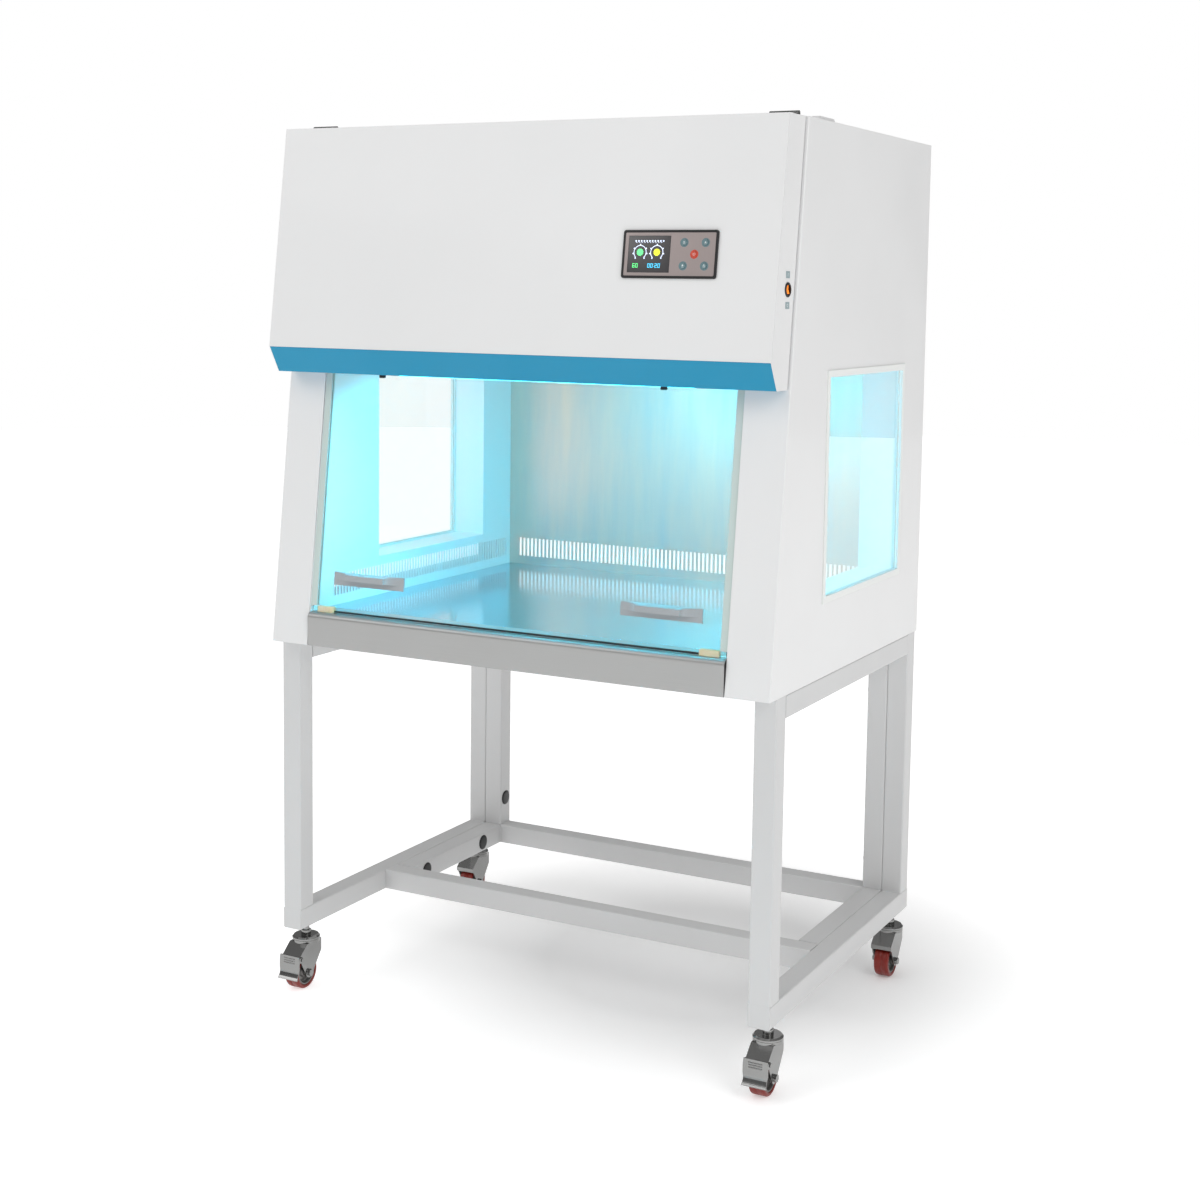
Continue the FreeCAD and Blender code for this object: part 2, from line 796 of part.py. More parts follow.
def caster_fork(corner):
    """Pressed fork with its dished crown, the axle bolt and, at the front, the pedal's pin."""
    fork = new_body(f"fork_{corner}", caster_at(corner))
    half = S.fork_width / 2
    nose_low = S.nose_z - S.nose_radius
    nose_high = S.nose_z + S.nose_radius
    rear_y, rear_z = tangent_foot(S.crown_rear, S.fork_knee_z, 1)
    throat_y = S.nose_radius - S.nose_out
    front_y0, front_z = tangent_foot(throat_y, nose_low, -1)
    add(fork, "YZ", [[
        (S.crown_rear, S.crown_z),
        (S.crown_rear, S.fork_knee_z),
        (rear_y, rear_z, -S.boss_radius),
        (front_y0, front_z),
        (throat_y, nose_low, -S.nose_radius),
        (-S.nose_out, S.nose_z),
        (-S.nose_out, nose_high),
        (-S.crown_front, S.crown_z),
    ]], -half, half)
    inner = half - S.fork_sheet
    cut(fork, "YZ", [block(S.fork_sheet - S.nose_out, 0, S.crown_rear + S.fork_sheet,
                           nose_high - S.fork_sheet)], -inner, inner)
    cut(fork, "YZ", [[
        (S.fork_sheet - S.nose_out, nose_high - S.fork_sheet - 1),
        (S.crown_rear + S.fork_sheet, nose_high - S.fork_sheet - 1),
        (S.crown_rear + S.fork_sheet, S.crown_z - S.fork_sheet),
        (-S.crown_front, S.crown_z - S.fork_sheet),
        (S.fork_sheet - S.nose_out, nose_high - S.fork_sheet),
    ]], -inner, inner)
    add(fork, "XY", [ring(0, 0, S.dish_radius)], S.crown_z - S.fork_sheet, S.crown_z + S.dish)
    cut(fork, "XY", [ring(0, 0, S.kingpin_radius + S.running_gap)], 0, S.crown_z + S.dish)
    cut(fork, "YZ", [ring(-S.trail, S.wheel_radius, S.axle_radius + S.running_gap)], -half, half)
    axle = new_body(f"axle_{corner}", caster_at(corner, -S.trail, S.wheel_radius))
    end = half + S.axle_head
    turn(axle, [
        (-end, 0),
        (-end, S.axle_head_radius),
        (-half, S.axle_head_radius),
        (-half, S.axle_radius),
        (half, S.axle_radius),
        (half, S.axle_head_radius),
        (end, S.axle_head_radius),
        (end, 0),
    ], "H_Axis")
    solids = [fork, axle]
    if corner.startswith("f"):
        hole = S.pedal_pin_radius + S.running_gap
        cut(fork, "YZ", [ring(-S.pedal_pin_out, S.pedal_pin_z, hole)], -half, half)
        pin = new_body(f"pedal_pin_{corner}", caster_at(corner, -S.pedal_pin_out, S.pedal_pin_z))
        shoulder = half + S.pedal_gap + S.pedal_sheet + S.pedal_gap
        turn(pin, [
            (-shoulder - 1, 0),
            (-shoulder - 1, S.pedal_pin_radius + 1),
            (-shoulder, S.pedal_pin_radius + 1),
            (-shoulder, S.pedal_pin_radius),
            (shoulder, S.pedal_pin_radius),
            (shoulder, S.pedal_pin_radius + 1),
            (shoulder + 1, S.pedal_pin_radius + 1),
            (shoulder + 1, 0),
        ], "H_Axis")
        solids.append(pin)
    return keep(f"caster_fork_{corner}", group(f"caster_fork_{corner}", solids))


def caster_wheel(corner):
    """Soft tread on a webbed hub."""
    at = caster_at(corner, -S.trail, S.wheel_radius)
    half = S.wheel_width / 2
    rim = S.wheel_radius - S.tread_depth
    shoulder = S.wheel_radius - S.tread_round
    crown = half - S.tread_round
    tread = new_body(f"tread_{corner}", at)
    turn(tread, [
        (-half, rim),
        (half, rim),
        (half, shoulder, S.tread_round),
        (crown, S.wheel_radius),
        (-crown, S.wheel_radius, S.tread_round),
        (-half, shoulder),
    ], "H_Axis")
    hub = new_body(f"hub_{corner}", at)
    bore = S.axle_radius + S.running_gap
    boss = S.fork_width / 2 - S.fork_sheet - 1
    web = half / 3
    turn(hub, [
        (-boss, bore),
        (boss, bore),
        (boss, 2 * S.axle_radius),
        (web, 3 * S.axle_radius),
        (web, rim - S.tread_round),
        (half - 1, rim - S.tread_round / 2),
        (half - 1, rim),
        (1 - half, rim),
        (1 - half, rim - S.tread_round / 2),
        (-web, rim - S.tread_round),
        (-web, 3 * S.axle_radius),
        (-boss, 2 * S.axle_radius),
    ], "H_Axis")
    return keep(f"caster_wheel_{corner}", group(f"caster_wheel_{corner}", [tread, hub]))


def brake_pedal(corner):
    """Pressed pedal that hangs in front of the wheel on two ears, with a shoe behind it."""
    pedal = new_body(f"pedal_{corner}", caster_at(corner))
    foot = S.pedal_foot_width / 2
    ear_in = S.fork_width / 2 + S.pedal_gap
    ear_out = ear_in + S.pedal_sheet
    front = -S.pedal_out
    back = S.pedal_sheet - S.pedal_out
    flare = -S.pedal_out - S.pedal_flare
    add(pedal, "YZ", [[
        (front, S.pedal_top_z),
        (front, S.pedal_knee_z),
        (flare, S.pedal_low_z),
        (flare + S.pedal_sheet, S.pedal_low_z),
        (back, S.pedal_knee_z),
        (back, S.pedal_top_z),
    ]], -foot, foot)
    for sign in SIDES.values():
        low_x, high_x = both(sign, ear_out, foot + 1)
        inner_x, outer_x = (low_x, high_x) if sign > 0 else (high_x, low_x)
        cut(pedal, "XZ", [[
            (inner_x, S.pedal_top_z + 1),
            (outer_x, S.pedal_top_z + 1),
            (outer_x, S.pedal_low_z + S.pedal_flare),
            (sign * foot, S.pedal_low_z + S.pedal_flare),
            (inner_x, S.pedal_top_z - S.pedal_flare),
        ]], flare, back)
    ear_radius = 2 * S.pedal_pin_radius
    for sign in SIDES.values():
        low_x, high_x = both(sign, ear_in, ear_out)
        add(pedal, "YZ", [[
            (back - S.pedal_sheet / 2, S.pedal_pin_z + ear_radius),
            (back - S.pedal_sheet / 2, S.pedal_pin_z - ear_radius),
            (-S.pedal_pin_out, S.pedal_pin_z - ear_radius, ear_radius),
            (ear_radius - S.pedal_pin_out, S.pedal_pin_z, ear_radius),
            (-S.pedal_pin_out, S.pedal_pin_z + ear_radius),
        ]], low_x, high_x)
    cut(pedal, "YZ", [ring(-S.pedal_pin_out, S.pedal_pin_z, S.pedal_pin_radius + S.running_gap)],
        -ear_out, ear_out)
    shoe_high = S.nose_z - S.nose_radius - 3.5
    shoe_half = S.fork_width / 2 - 2 * S.fork_sheet
    add(pedal, "YZ", [block(back - S.pedal_sheet / 2, shoe_high - 4, back + 7, shoe_high)],
        -shoe_half, shoe_half)
    rib = add(pedal, "XZ", [block(-shoe_half, S.pedal_top_z - 4, shoe_half, S.pedal_top_z - 2)],
              front - 1, front + S.pedal_sheet / 2)
    rows = repeat(pedal, rib, "Z", S.rib_pitch, Size(3))
    rows.Reversed = True
    doc.recompute()
    return keep(f"brake_pedal_{corner}", pedal)


# Cabinet shell

window_box = [
    S.window_y - S.window / 2,
    S.window_z - S.window / 2,
    S.window_y + S.window / 2,
    S.window_z + S.window / 2,
]


def window_outline(grow):
    low_y, low_z, high_y, high_z = window_box
    return block(low_y - grow, low_z - grow, high_y + grow, high_z + grow)


def side_panel(side, sign):
    """One folded sheet: the side with its window opening, and the front column."""
    panel = new_body(f"panel_{side}")
    skin = both(sign, half_body - S.sheet, half_body)
    add(panel, "YZ", [[
        (front_y(S.cabinet_z), S.cabinet_z),
        (S.back, S.cabinet_z),
        (S.back, S.top_z),
        (front_y(S.top_z), S.top_z),
    ]], *skin)
    add(panel, "YZ", [front_sheet(S.cabinet_z, S.top_z, 0, S.sheet)],
        *both(sign, chamber_half, half_body))

    def on_fold(edge):
        middle = edge.CenterOfMass
        high = edge.BoundBox.ZLength > (S.top_z - S.cabinet_z).value / 2
        at_corner = abs(abs(middle.x) - half_body.value) < 0.01
        return high and at_corner and middle.y < 0

    round_edges(panel, S.fold_radius, on_fold)
    cut(panel, "YZ", [window_outline(0)], *skin)
    return keep(f"side_panel_{side}", panel)


def back_panel():
    panel = new_body("rear_sheet")
    half = half_body - S.sheet
    add(panel, "XZ", [block(-half, S.cabinet_z, half, S.top_z - S.sheet)], S.back - S.sheet, S.back)
    low_x = S.inlet_x - S.inlet_width / 2 - S.fit
    low_z = S.inlet_z - S.inlet_height / 2 - S.fit
    cut(panel, "XZ", [block(low_x, low_z, low_x + S.inlet_width + 2 * S.fit,
                            low_z + S.inlet_height + 2 * S.fit)], S.back - S.sheet, S.back)
    return keep("back_panel", panel)


def roof_panel():
    """Roof with turned-down edges, intake slots and a low raised strip at each side."""
    roof = new_body("roof")
    half = half_body - S.sheet
    front = front_y(S.top_z, S.sheet) + S.fit
    add(roof, "XY", [block(-half, front, half, S.back)], S.top_z - S.sheet, S.top_z)
    flange_low = S.top_z - S.roof_flange
    for sign in SIDES.values():
        add(roof, "XY", [block(both(sign, half - S.sheet, half)[0], front,
                               both(sign, half - S.sheet, half)[1], S.back - S.sheet - S.fit)],
            flange_low, S.top_z - S.sheet / 2)
    strip_high = S.top_z + S.strip_height
    for sign in SIDES.values():
        low_x, high_x = both(sign, S.strip_x - S.strip_width / 2, S.strip_x + S.strip_width / 2)
        low_y = -S.strip_y - S.strip_length / 2
        high_y = -S.strip_y + S.strip_length / 2
        add(roof, "YZ", [[
            (low_y, S.top_z - S.sheet / 2),
            (high_y, S.top_z - S.sheet / 2),
            (high_y, S.top_z),
            (high_y - S.strip_height, strip_high),
            (low_y + S.strip_height, strip_high),
            (low_y, S.top_z),
        ]], low_x, high_x)
    count = whole((S.pre_filter_width - 4 * S.vent_pitch) / S.vent_pitch)
    start = -count * S.vent_pitch / 2
    vent_y = S.pre_filter_depth / 2 - 2 * S.vent_pitch
    vent = cut(roof, "XY", [block(start, S.blower_y - vent_y, start + S.vent_width,
                                  S.blower_y + vent_y)], S.top_z - S.sheet, S.top_z)
    repeat(roof, vent, "X", S.vent_pitch, count + 1)
    return keep("roof_panel", roof)


def base_panel():
    base = new_body("floor_sheet")
    half = half_body - S.sheet
    front = front_y(S.cabinet_z + S.sheet, S.sheet) + S.fit
    add(base, "XY", [block(-half, front, half, S.back - S.sheet)], S.cabinet_z,
        S.cabinet_z + S.sheet)
    return keep("base_panel", base)


def slot_row(piece, plane, axis, start, end, low, high):
    """Row of upright return-air slots between two coordinates."""
    slot_high = S.slot_low_z + S.slot_height
    slot = cut(piece, plane, [block(start, S.slot_low_z, start + S.slot_width, slot_high)], low, high)
    count = whole((end - start - S.slot_width) / S.slot_pitch) + 1
    repeat(piece, slot, axis, S.slot_pitch, count)


def inner_wall(side, sign):
    """Chamber side wall with the window's reveal, the tray's ledge and return-air slots."""
    wall = new_body(f"wall_{side}")
    low_z = S.cabinet_z + S.sheet
    high_z = S.top_z - S.sheet
    rear = S.back - S.sheet
    sheet = both(sign, wall_face, chamber_half)
    add(wall, "YZ", [[
        (front_y(low_z, S.sheet), low_z),
        (rear, low_z),
        (rear, high_z),
        (front_y(high_z, S.sheet) + S.sheet, high_z),
    ]], *sheet)
    cut(wall, "YZ", [window_outline(0)], *sheet)
    add(wall, "YZ", [window_outline(S.inner_sheet), window_outline(0)],
        *both(sign, wall_face, half_body - S.sheet))
    ledge_high = S.bar_top_z - S.tray_flange
    add(wall, "YZ", [block(tray_front(), ledge_high - S.inner_sheet, S.inner_back, ledge_high)],
        *both(sign, wall_face - S.ledge, chamber_half))
    start = front_y(S.slot_low_z) + 3 * S.slot_margin
    slot_row(wall, "YZ", "Y", start, S.inner_back - S.slot_margin / 2, *sheet)
    return keep(f"inner_wall_{side}", wall)


def tray_front():
    return S.bar_depth - S.front_low + S.fit


def inner_back_wall():
    wall = new_body("rear_wall")
    half = wall_face - S.fit
    rear = S.inner_back + S.inner_sheet
    add(wall, "XZ", [block(-half, S.cabinet_z + S.sheet, half, plenum_z())], S.inner_back, rear)
    slot_row(wall, "XZ", "X", S.slot_margin - half, half - S.slot_margin, S.inner_back, rear)
    return keep("inner_back_wall", wall)


def work_surface():
    """Tray with turned-down edges that stands on the walls' ledges."""
    tray = new_body("tray")
    half = wall_face - S.fit
    low = S.bar_top_z - S.tray_flange
    rear = S.inner_back - S.fit
    edge = S.inner_sheet
    add(tray, "XY", [block(-half, tray_front(), half, rear)], low, S.bar_top_z)
    cut(tray, "XY", [block(edge - half, tray_front() + edge, half - edge, rear - edge)], low,
        S.bar_top_z - edge)
    return keep("work_surface", tray)


def front_bar():
    """Folded sill under the sash, with a round top edge."""
    bar = new_body("sill")
    half = wall_face - S.fit
    front = -S.front_low
    rear = S.bar_depth - S.front_low
    top = S.bar_top_z
    sheet = S.inner_sheet
    inner_round = S.bar_round - sheet
    drop = S.tray_flange
    add(bar, "YZ", [[
        (front, S.cabinet_z),
        (front + sheet, S.cabinet_z),
        (front + sheet, top - S.bar_round, -inner_round),
        (front + S.bar_round, top - sheet),
        (rear - sheet, top - sheet),
        (rear - sheet, top - drop),
        (rear, top - drop),
        (rear, top),
        (front + S.bar_round, top, S.bar_round),
        (front, top - S.bar_round),
    ]], -half, half)
    return keep("front_bar", bar)


def windows():
    """Panes in rubber seals that grip the edges of the side panels' openings."""
    panes = []
    seals = []
    outside = half_body
    pane_far = outside - S.pane_inset
    pane_near = pane_far - S.pane
    play = S.fit / 2
    for side, sign in SIDES.items():
        seal = new_body(f"seal_{side}")
        add(seal, "YZ", [window_outline(S.seal_lip), window_outline(-S.seal_bite)],
            *both(sign, outside, outside + S.seal_proud))
        add(seal, "YZ", [window_outline(-S.fit / 3), window_outline(-S.seal_bite)],
            *both(sign, pane_near - S.seal_proud, outside))
        cut(seal, "YZ", [window_outline(-S.seal_bite / 2 + play)],
            *both(sign, pane_near - play, pane_far + play))
        seals.append(seal)
        pane = new_body(f"pane_{side}")
        add(pane, "YZ", [window_outline(-S.seal_bite / 2)], *both(sign, pane_near, pane_far))
        panes.append(pane)
    keep("window_seals", group("window_seals", seals))
    keep("window_panes", group("window_panes", panes))


# Filter, blower and lamps

def hepa_low():
    return S.ceiling_z + S.inner_sheet + S.rail_height


def plenum_z():
    """Underside of the blower's plate."""
    return hepa_low() + S.hepa_height + S.skirt


def cover_plate():
    """Inner front of the filter space, behind the raised sash."""
    cover = new_body("cover")
    half = wall_face - S.fit
    high_z = S.top_z - S.sheet - S.fit
    near = S.cover_behind
    far = near + S.inner_sheet
    add(cover, "YZ", [front_sheet(S.cover_low_z, high_z, near, far)], -half, half)
    add(cover, "YZ", [block(front_y(S.cover_low_z, near), S.cover_low_z,
                            front_y(S.cover_low_z, far) + S.cover_return,
                            S.cover_low_z + S.inner_sheet)], -half, half)
    return keep("cover_plate", cover)


def space_front(z):
    """Y just behind the cover plate at a height."""
    return front_y(z, S.cover_behind + S.inner_sheet) + S.fit


def diffuser():
    """Ceiling sheet of the chamber, which spreads the downflow."""
    ceiling = new_body("ceiling")
    half = wall_face - S.fit
    add(ceiling, "XY", [block(-half, space_front(S.ceiling_z), half, S.inner_back - S.fit)],
        S.ceiling_z, S.ceiling_z + S.inner_sheet)
    return keep("diffuser", ceiling)


def filter_rails():
    """Channels on the side walls that carry the ceiling sheet and the filter."""
    rails = []
    low = S.ceiling_z + S.inner_sheet
    front = space_front(low + S.rail_height)
    for side, sign in SIDES.items():
        rail = new_body(f"filter_rail_{side}")
        outer = both(sign, wall_face - S.rail_width, wall_face)
        add(rail, "XZ", [block(outer[0], low, outer[1], low + S.rail_height)], front,
            S.inner_back - S.fit)
        hollow = both(sign, wall_face - S.rail_width, wall_face - S.rail_sheet)
        cut(rail, "XZ", [block(hollow[0], low + S.rail_sheet, hollow[1],
                               low + S.rail_height - S.rail_sheet)], front, S.inner_back - S.fit)
        rails.append(rail)
    return keep("filter_rails", group("filter_rails", rails))


def hepa_span():
    """Front and back of the main filter."""
    rear = S.inner_back - S.hepa_frame / 2
    return rear - S.hepa_depth, rear


def hepa_filter():
    filter_body = new_body("hepa")
    front, rear = hepa_span()
    half = S.hepa_width / 2
    low = hepa_low()
    high = low + S.hepa_height
    frame = S.hepa_frame
    add(filter_body, "XY", [block(-half, front, half, rear)], low, high)
    recess = [block(frame - half, front + frame, half - frame, rear - frame)]
    cut(filter_body, "XY", recess, low, low + S.hepa_recess)
    cut(filter_body, "XY", recess, high - S.hepa_recess, high)
    return keep("hepa_filter", filter_body)


def blower_plate():
    """Plate over the filter with a skirt that stands on the filter's frame."""
    plate = new_body("plenum_plate")
    half = wall_face - S.fit
    low = plenum_z()
    front, rear = hepa_span()
    skirt = S.hepa_width / 2
    add(plate, "XY", [block(-half, space_front(low), half, S.back - S.sheet - S.fit)], low,
        low + S.sheet)
    add(plate, "XY", [block(-skirt, front, skirt, rear),
                      block(S.sheet - skirt, front + S.sheet, skirt - S.sheet, rear - S.sheet)],
        low - S.skirt, low + S.sheet / 2)
    throat = S.scroll_width / 2 - S.sheet
    throat_front = S.blower_y - S.scroll_step / 2 + S.sheet
    throat_rear = S.blower_y + S.scroll_radius + S.scroll_step / 2 - S.sheet
    cut(plate, "XY", [block(-throat, throat_front, throat, throat_rear)], low, low + S.sheet)
    return keep("blower_plate", plate)


def blower_at():
    return (0, S.blower_y, plenum_z() + S.sheet + S.scroll_throat)


def scroll_outline(wall, low):
    """Spiral of three quarter arcs about the corners of a small square, and the throat below."""
    step = S.scroll_step
    radius = S.scroll_radius - wall
    return [
        (step / 2 + radius, low),
        (step / 2 + radius, -step / 2, radius),
        (step / 2, radius - step / 2, radius - step),
        (step / 2 - radius + step, step / 2, radius - 2 * step),
        (-step / 2, step / 2 - radius + 2 * step),
        (wall - step / 2, step / 2 - radius + 2 * step),
        (wall - step / 2, low),
    ]


def blower_housing():
    """Sheet scroll with an inlet on each side and its outlet through the plate below."""
    scroll = new_body("scroll", blower_at())
    half = S.scroll_width / 2
    sheet = S.inner_sheet
    low = -S.scroll_throat
    outer = scroll_outline(0, low)
    del outer[4]
    add(scroll, "YZ", [outer], -half, half)
    flange = S.hepa_frame
    add(scroll, "XY", [block(-half - flange, -S.scroll_step / 2 - flange, half + flange,
                             S.scroll_radius + S.scroll_step / 2 + flange)], low, low + S.sheet)
    cut(scroll, "YZ", [scroll_outline(sheet, low)], sheet - half, half - sheet)
    cut(scroll, "YZ", [ring(0, 0, S.inlet_radius)], -half, half)
    return keep("blower_housing", scroll)


def blower_impeller():
    """Double-inlet wheel: hub and centre disc, curved blades, end rings and the shaft."""
    wheel = new_body("fan_wheel", blower_at())
    half = S.fan_width / 2
    sheet = S.inner_sheet
    rim = S.fan_radius - sheet
    hub = 3 * S.shaft_radius
    turn(wheel, [
        (-hub / 2, 0),
        (-hub / 2, hub),
        (-sheet, hub),
        (-sheet, rim),
        (sheet, rim),
        (sheet, hub),
        (hub / 2, hub),
        (hub / 2, S.shaft_radius),
        (half - hub, S.shaft_radius),
        (half - hub, 0),
    ], "H_Axis")
    bend = S.fan_radius / 3
    lead = S.fan_radius / 8
    blade = add(wheel, "YZ", [[
        (S.fan_eye, 0),
        (S.fan_eye + sheet, 0, bend),
        (rim, lead),
        (rim - sheet, lead + sheet, -bend - sheet),
    ]], -half, half)
    repeat_round(wheel, blade, "X", S.fan_blades)
    for sign in SIDES.values():
        add(wheel, "YZ", [ring(0, 0, S.fan_radius), ring(0, 0, S.fan_radius - 6 * sheet)],
            *both(sign, half - 2 * sheet, half))
    return keep("blower_impeller", wheel)


def blower_motor():
    """Motor in the wheel's right eye, on three arms from the scroll's side."""
    motor = new_body("motor", blower_at())
    face = S.scroll_width / 2
    near = 3 * S.shaft_radius
    arm = S.motor_radius / 4
    turn(motor, [
        (near, S.shaft_radius + S.running_gap),
        (S.fan_width / 2, S.shaft_radius + S.running_gap),
        (S.fan_width / 2, 0),
        (face + S.motor_radius / 5, 0),
        (face + S.motor_radius / 5, S.motor_radius * 0.8),
        (face, S.motor_radius),
        (near, S.motor_radius),
    ], "H_Axis")
    bracket = add(motor, "YZ", [block(-arm / 2, S.motor_radius * 0.7, arm / 2,
                                      S.inlet_radius + arm)], face, face + 3)
    repeat_round(motor, bracket, "X", 3)
    return keep("blower_motor", motor)


def pre_filter():
    """Coarse filter pad in a frame under the roof's intake slots."""
    pad = new_body("coarse_filter")
    half = S.pre_filter_width / 2
    front = S.blower_y - S.pre_filter_depth / 2
    rear = S.blower_y + S.pre_filter_depth / 2
    high = S.top_z - S.sheet
    low = high - S.pre_filter_height
    frame = S.hepa_frame / 2
    add(pad, "XY", [block(-half, front, half, rear)], low, high)
    cut(pad, "XY", [block(frame - half, front + frame, half - frame, rear - frame)], low,
        low + S.hepa_recess)
    return keep("pre_filter", pad)


def lamp(name, y):
    """Lamp tube with its metal caps."""
    tube = new_body(name + "_tube", (0, y, S.lamp_z))
    half = S.lamp_length / 2
    cap = S.lamp_radius
    turn(tube, [
        (-half, 0),
        (-half, S.lamp_radius),
        (cap - half, S.lamp_radius),
        (cap - half, S.lamp_radius - 0.5),
        (half - cap, S.lamp_radius - 0.5),
        (half - cap, S.lamp_radius),
        (half, S.lamp_radius),
        (half, 0),
    ], "H_Axis")
    return keep(name, tube)


def lamp_holders():
    """A holder at each end of each lamp, hung from the ceiling sheet."""
    holders = []
    radius = S.lamp_radius
    for name, y in (("uv", -S.uv_lamp_y), ("led", -S.led_lamp_y)):
        for side, sign in SIDES.items():
            holder = new_body(f"holder_{name}_{side}")
            near = S.lamp_length / 2 + S.fit
            add(holder, "YZ", [[
                (y - radius, S.ceiling_z),
                (y - radius, S.lamp_z, radius),
                (y, S.lamp_z - radius, radius),
                (y + radius, S.lamp_z),
                (y + radius, S.ceiling_z),
            ]], *both(sign, near, near + S.holder))
            holders.append(holder)
    return keep("lamp_holders", group("lamp_holders", holders))


# Sash

def sash_tracks():
    """Channels on the chamber's side walls in which the sash slides."""
    tracks = []
    groove_near = S.glass_behind - S.track_play
    groove_far = S.glass_behind + S.glass + S.track_play
    near = groove_near - S.track_wall
    far = groove_far + S.track_wall
    for side, sign in SIDES.items():
        track = new_body(f"track_{side}")
        channel = both(sign, wall_face - S.track_depth, wall_face)
        add(track, "YZ", [front_sheet(S.track_low_z, S.track_high_z, near, far)], *channel)
        groove = both(sign, wall_face - S.track_depth, wall_face - S.track_wall)
        cut(track, "YZ", [front_sheet(S.track_low_z, S.track_high_z, groove_near, groove_far)],
            *groove)
        tracks.append(track)
    return keep("sash_tracks", group("sash_tracks", tracks))


def sash_glass():
    glass = new_body("glass_sheet")
    half = wall_face - S.track_wall - S.track_play
    far = S.glass_behind + S.glass
    add(glass, "YZ", [front_sheet(S.glass_low_z, S.glass_high_z, S.glass_behind, far)], -half, half)
    return keep("sash_glass", glass)


def sash_handles():
    """Finger pulls on the glass: a back plate, a ledge with hollow ends and a turned-down lip."""
    handles = []
    half = S.handle_width / 2
    high = S.handle_height / 2
    grip = S.grip_width / 2
    sheet = S.handle_sheet
    reach = half - grip - sheet
    bow = (reach * reach + S.handle_out * S.handle_out) / (2 * S.handle_out)
    for side, sign in SIDES.items():
        at = (sign * S.handle_x, front_y(S.handle_z, S.glass_behind), S.handle_z)
        handle = new_body(f"handle_{side}", at, -front_lean)
        add(handle, "XZ", [block(-half, -high, half, high)], -sheet, 0)
        add(handle, "XY", [[
            (half - sheet, -sheet / 2),
            (sheet - half, -sheet / 2),
            (sheet - half, -sheet, -bow),
            (-grip, -S.handle_out),
            (grip, -S.handle_out, -bow),
            (half - sheet, -sheet),
        ]], high - sheet, high)
        add(handle, "XZ", [block(-grip, -sheet / 2, grip, high - sheet / 2)], -S.handle_out,
            sheet - S.handle_out)
        handles.append(handle)
    return keep("sash_handles", group("sash_handles", handles))


def sash_pads():
    """Soft clips round the glass's lower edge, on which the sash stands."""
    pads = []
    low = S.bar_top_z + S.fit
    near = S.glass_behind - S.track_wall
    far = S.glass_behind + S.glass + S.track_wall
    play = S.fit / 3
    for side, sign in SIDES.items():
        pad = new_body(f"pad_{side}")
        span = both(sign, S.pad_x - S.pad_width / 2, S.pad_x + S.pad_width / 2)
        add(pad, "YZ", [front_sheet(low, S.pad_high_z, near, far)], *span)
        cut(pad, "YZ", [front_sheet(S.glass_low_z - play, S.pad_high_z, S.glass_behind - play,
                                    S.glass_behind + S.glass + play)], *span)
        pads.append(pad)
    return keep("sash_pads", group("sash_pads", pads))


# Front panel

half_panel = S.panel_width / 2
trim_rise = S.lip_z - S.trim_low_z
trim_run = S.lip_out - S.trim_out
trim_length = root(trim_rise * trim_rise + trim_run * trim_run)


def rear_line(z):
    """Rear edge of the front panel's flanges."""
    return front_y(z, -S.panel_gap)


def trim_y(z, behind=0):
    """Y of the bevel under the lip at a height."""
    return -S.trim_out - (z - S.trim_low_z) * trim_run / trim_rise + behind * trim_length / trim_rise


def front_panel():
    """Hinged front: a folded pan that is open at the back, with the control's cut-out."""
    pan = new_body("pan")
    add(pan, "YZ", [[
        (rear_line(S.top_z), S.top_z),
        (-S.crown_out, S.top_z),
        (-S.lip_out, S.lip_z),
        (-S.trim_out, S.trim_low_z),
        (rear_line(S.trim_low_z), S.trim_low_z),
    ]], -half_panel, half_panel)
    base = pan.Tip
    shell = pan.newObject("PartDesign::Thickness", "pan_shell")
    shell.Base = (base, [
        f"Face{number}"
        for number, face in enumerate(base.Shape.Faces, start=1)
        if face.normalAt(0, 0).y > 0.9
    ])
    shell.Reversed = True
    shell.Join = "Intersection"
    shell.setExpression("Value", S.panel_sheet.text)
    doc.recompute()
    inner = half_panel - S.panel_sheet
    cut(pan, "YZ", [block(-S.lip_out - 1, S.trim_low_z - 1, rear_line(S.trim_low_z) + 1, S.lip_z)],
        -inner, inner)
    opening = housing_size(S.fit)
    cut(pan, "XZ", [block(S.control_x - opening[0], S.control_z - opening[1],
                          S.control_x + opening[0], S.control_z + opening[1])],
        -S.lip_out, skin_y(S.top_z, S.panel_sheet))
    cut(pan, "YZ", [ring(-S.switch_y, S.switch_z, S.barrel_radius + S.fit)],
        half_panel - S.panel_sheet, half_panel)
    return keep("front_panel", pan)


def panel_trim():
    """Coloured strip that closes the panel's lower edge and joggles behind the skin."""
    trim = new_body("lower_trim")
    sheet = S.panel_sheet
    half = half_panel - sheet - S.fit / 3
    low = S.trim_low_z
    top = S.lip_z - S.fit / 3
    rear = rear_line(low)
    add(trim, "YZ", [[
        (trim_y(top), top),
        (-S.trim_out, low),
        (rear, low),
        (rear, low + sheet),
        (trim_y(low + sheet, sheet), low + sheet),
        (trim_y(top, sheet), top),
    ]], -half, half)
    foot = S.lip_z - 2 * sheet
    high = S.lip_z + S.joggle
    near = sheet + S.fit
    add(trim, "YZ", [[
        (skin_y(foot, near), foot),
        (skin_y(foot, near + sheet), foot),
        (skin_y(high, near + sheet), high),
        (skin_y(high, near), high),
    ]], -half, half)
    for sign in SIDES.values():
        cut(trim, "XY", [ring(sign * S.stop_x, -S.stop_out, S.stop_radius / 2 + S.fit / 3)],
            low, low + sheet)
    return keep("panel_trim", trim)


